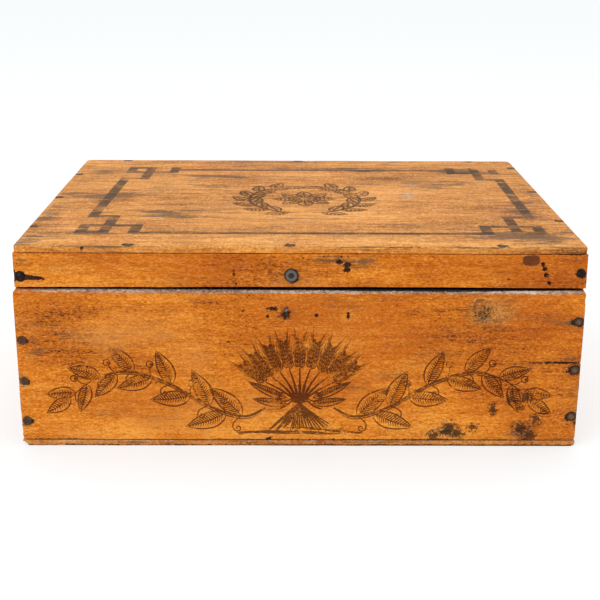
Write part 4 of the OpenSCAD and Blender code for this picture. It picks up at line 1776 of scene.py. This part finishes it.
print("strokes are pressed to a share of their width of:", FLATTENED)

# %% Ink
INK_COVER = 0.9
FRONT_INK = (0.17, 0.13, 0.24, 1)
LID_INK = (0.16, 0.16, 0.2, 1)
LID_PRINT = (4 * MM, -6 * MM)


def ink_over(film, name, wood, ink):
    """Paints a film as the wood below it, darkened by ink that is worn in patches."""
    f, colour, roughness, height = old_wood(name, **wood)
    worn = f.noise(f.place, scale=46, detail=4, roughness=0.65)
    flecks = f.noise(f.place, scale=700, detail=2)
    left = f.smooth(worn + (flecks - 0.5) * 0.7, 0.22, 0.5)
    coat(film, (f, f.mix(left * INK_COVER, colour, ink, "MULTIPLY"), roughness, height))


front_ornament = press(
    "front_ornament", front_lines, lambda u, v: (u, 0, v), (1, front_low.y), "box"
)
mark(front_ornament, **front_marks)
ink_over(front_ornament, "front_ink", FRONT_WOOD, FRONT_INK)
lid_ornament = press(
    "lid_ornament",
    lid_lines,
    lambda u, v: (u + LID_PRINT[0], v + LID_PRINT[1], 0),
    (2, lid_high.z),
    "lid",
)
mark(lid_ornament, **lid_marks)
ink_over(lid_ornament, "lid_ink", LID_WOOD, LID_INK)
print("ink faces:", len(front_ornament.data.polygons), len(lid_ornament.data.polygons))

# %% [markdown]
# ## Iron
# The nails, the hinges and what is left of the catch keep the shape of their solids. Old iron is nearly
# black where it lies in the wood, brown where it rusts and grey where it is rubbed, so one recipe mixes
# three tones by noise. The nails of the front carry a paler crust: round the rim of the left ones and on
# the middle of the right ones.

# %% An iron finish
CRUST = tone(108, 84, 66)
RUST_DEPTH = 0.25 * MM


def iron(name, dark, grey, rust, rusty, metal, gloss, nails):
    """Dull old iron. From 0 to 1, rusty and metal say how much of each shows. Nails get a paler crust."""
    f = Finish(name)
    f.shader.inputs["Specular IOR Level"].default_value = gloss
    cloud = f.noise(f.place, scale=260, detail=4, roughness=0.65)
    fine = f.noise(f.place, scale=1500, detail=3, roughness=0.6)
    rubbed = f.smooth(cloud + (fine - 0.5) * 0.4, 0.62 - 0.3 * metal, 0.82 - 0.3 * metal)
    rusted = f.smooth(f.noise(f.place, scale=420, detail=3), 0.68 - 0.3 * rusty, 0.8 - 0.3 * rusty)
    colour = f.mix(rubbed, dark, grey)
    colour = f.mix(rusted * 0.8, colour, rust)
    if nails:
        nearest = least([((f.x - nail.x) ** 2 + (f.z - nail.z) ** 2) ** 0.5 for nail in nails])
        at_rim = f.smooth(nearest + (cloud - 0.5) * (5 * MM), 1.6 * MM, 3.4 * MM)
        right = f.smooth(f.x, -10 * MM, 10 * MM)
        in_middle = f.smooth(nearest + (cloud - 0.5) * (4 * MM), 2.2 * MM, 0.8 * MM)
        crust = at_rim * (1 - right) + in_middle * right
        colour = f.mix(crust * 0.8, colour, CRUST)
    f.feed(f.shader.inputs["Metallic"], rubbed * 0.4 * (1 - rusted))
    return f.paint(colour, 0.55 + (1 - rubbed) * 0.2 + rusted * 0.1, cloud + fine * 0.5, RUST_DEPTH)


print("depth of the rust (mm):", RUST_DEPTH / MM)

# %% The iron finishes
IRONS = {
    "front_nail_iron": ((66, 50, 40), (96, 80, 66), (86, 56, 38), 0.5, 0.2, 0.1),
    "rail_nail_iron": ((32, 27, 25), (62, 55, 50), (66, 42, 30), 0.5, 0.3, 0.06),
    "dark_nail_iron": ((48, 43, 40), (92, 86, 80), (88, 52, 30), 0.35, 0.1, 0.03),
    "lid_nail_iron": ((82, 73, 65), (116, 107, 98), (92, 64, 44), 0.35, 0.2, 0.03),
    "hinge_iron_finish": ((44, 39, 37), (120, 114, 108), (104, 62, 34), 0.55, 0.4, 0.2),
    "catch_iron_finish": ((38, 36, 36), (128, 130, 134), (70, 48, 34), 0.25, 0.5, 0.2),
    "stub_iron": ((62, 48, 32), (120, 96, 66), (58, 40, 28), 0.4, 0.4, 0.1),
}
irons = {}
for name, (dark, grey, rust, rusty, metal, gloss) in IRONS.items():
    crusted = front_nails if name == "front_nail_iron" else ()
    irons[name] = iron(name, tone(*dark), tone(*grey), tone(*rust), rusty, metal, gloss, crusted)
print("iron finishes:", list(irons))

# %% [markdown]
# ## The rosette of the catch
# The round plate in the lid's rail is the only bright metal. Its rim is rubbed, the hollow round the stub in
# its middle is painted dark as shade, and its outer edge is painted black as shade. All of that follows the
# distance from its middle, so one ramp paints it.

# %% Paint the rosette
STEEL_DEPTH = 0.2 * MM
rosette_low, rosette_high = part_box("catch_rosette")
rosette_mid = (rosette_low + rosette_high) / 2
f = Finish("rosette_steel")
out = ((f.x - rosette_mid.x) ** 2 + (f.z - rosette_mid.z) ** 2) ** 0.5 / (
    (rosette_high.x - rosette_low.x) / 2
)
spots = f.noise(f.place, scale=900, detail=4, roughness=0.7)
# The near-black stops are painted shade: the hollow round the stub and the outer edge of the plate.
steel_with_painted_shade = f.ramp(
    out + (spots - 0.5) * 0.34,
    [
        (0.1, tone(92, 72, 50)),
        (0.26, tone(36, 28, 23)),
        (0.42, tone(62, 58, 55)),
        (0.6, tone(100, 101, 98)),
        (0.76, tone(84, 84, 81)),
        (0.93, tone(34, 32, 31)),
    ],
)
rusted = f.smooth(f.noise(f.place, scale=520, detail=3), 0.56, 0.7)
f.feed(f.shader.inputs["Metallic"], f.smooth(out, 0.4, 0.7) * 0.6 * (1 - rusted))
rosette_steel = f.paint(f.mix(rusted * 0.6, steel_with_painted_shade, tone(76, 62, 52)), 0.42 + spots * 0.25, spots, STEEL_DEPTH)
print("rosette (mm across):", round(1000 * (rosette_high.x - rosette_low.x), 1))

# %% [markdown]
# ## Giving the iron its finishes
# The solids of iron stay as they are and only get new materials. The slot of each part in the record says
# what it is made of, and the nails that show most and the stub have finishes of their own.

# %% Give the iron its finishes
SLOT_FINISH = {
    "nail_iron": irons["dark_nail_iron"],
    "hinge_iron": irons["hinge_iron_finish"],
    "catch_steel": rosette_steel,
    "catch_iron": irons["catch_iron_finish"],
}
NODE_FINISH = {
    "front_board_nails": irons["front_nail_iron"],
    "lid_front_rail_nails": irons["rail_nail_iron"],
    "lid_top_nails": irons["lid_nail_iron"],
    "catch_pin": irons["stub_iron"],
}
painted = 0
for part in frame["record"]["subparts"]:
    finish = NODE_FINISH.get(part["node"], SLOT_FINISH.get(part["material_slot"]))
    if finish:
        mesh = frame["nodes"][part["node"]].data
        mesh.materials.clear()
        mesh.materials.append(finish)
        painted += 1
print("iron nodes:", painted)

# %% [markdown]
# ## The end
# The visual model has to stay inside the box of the solids.
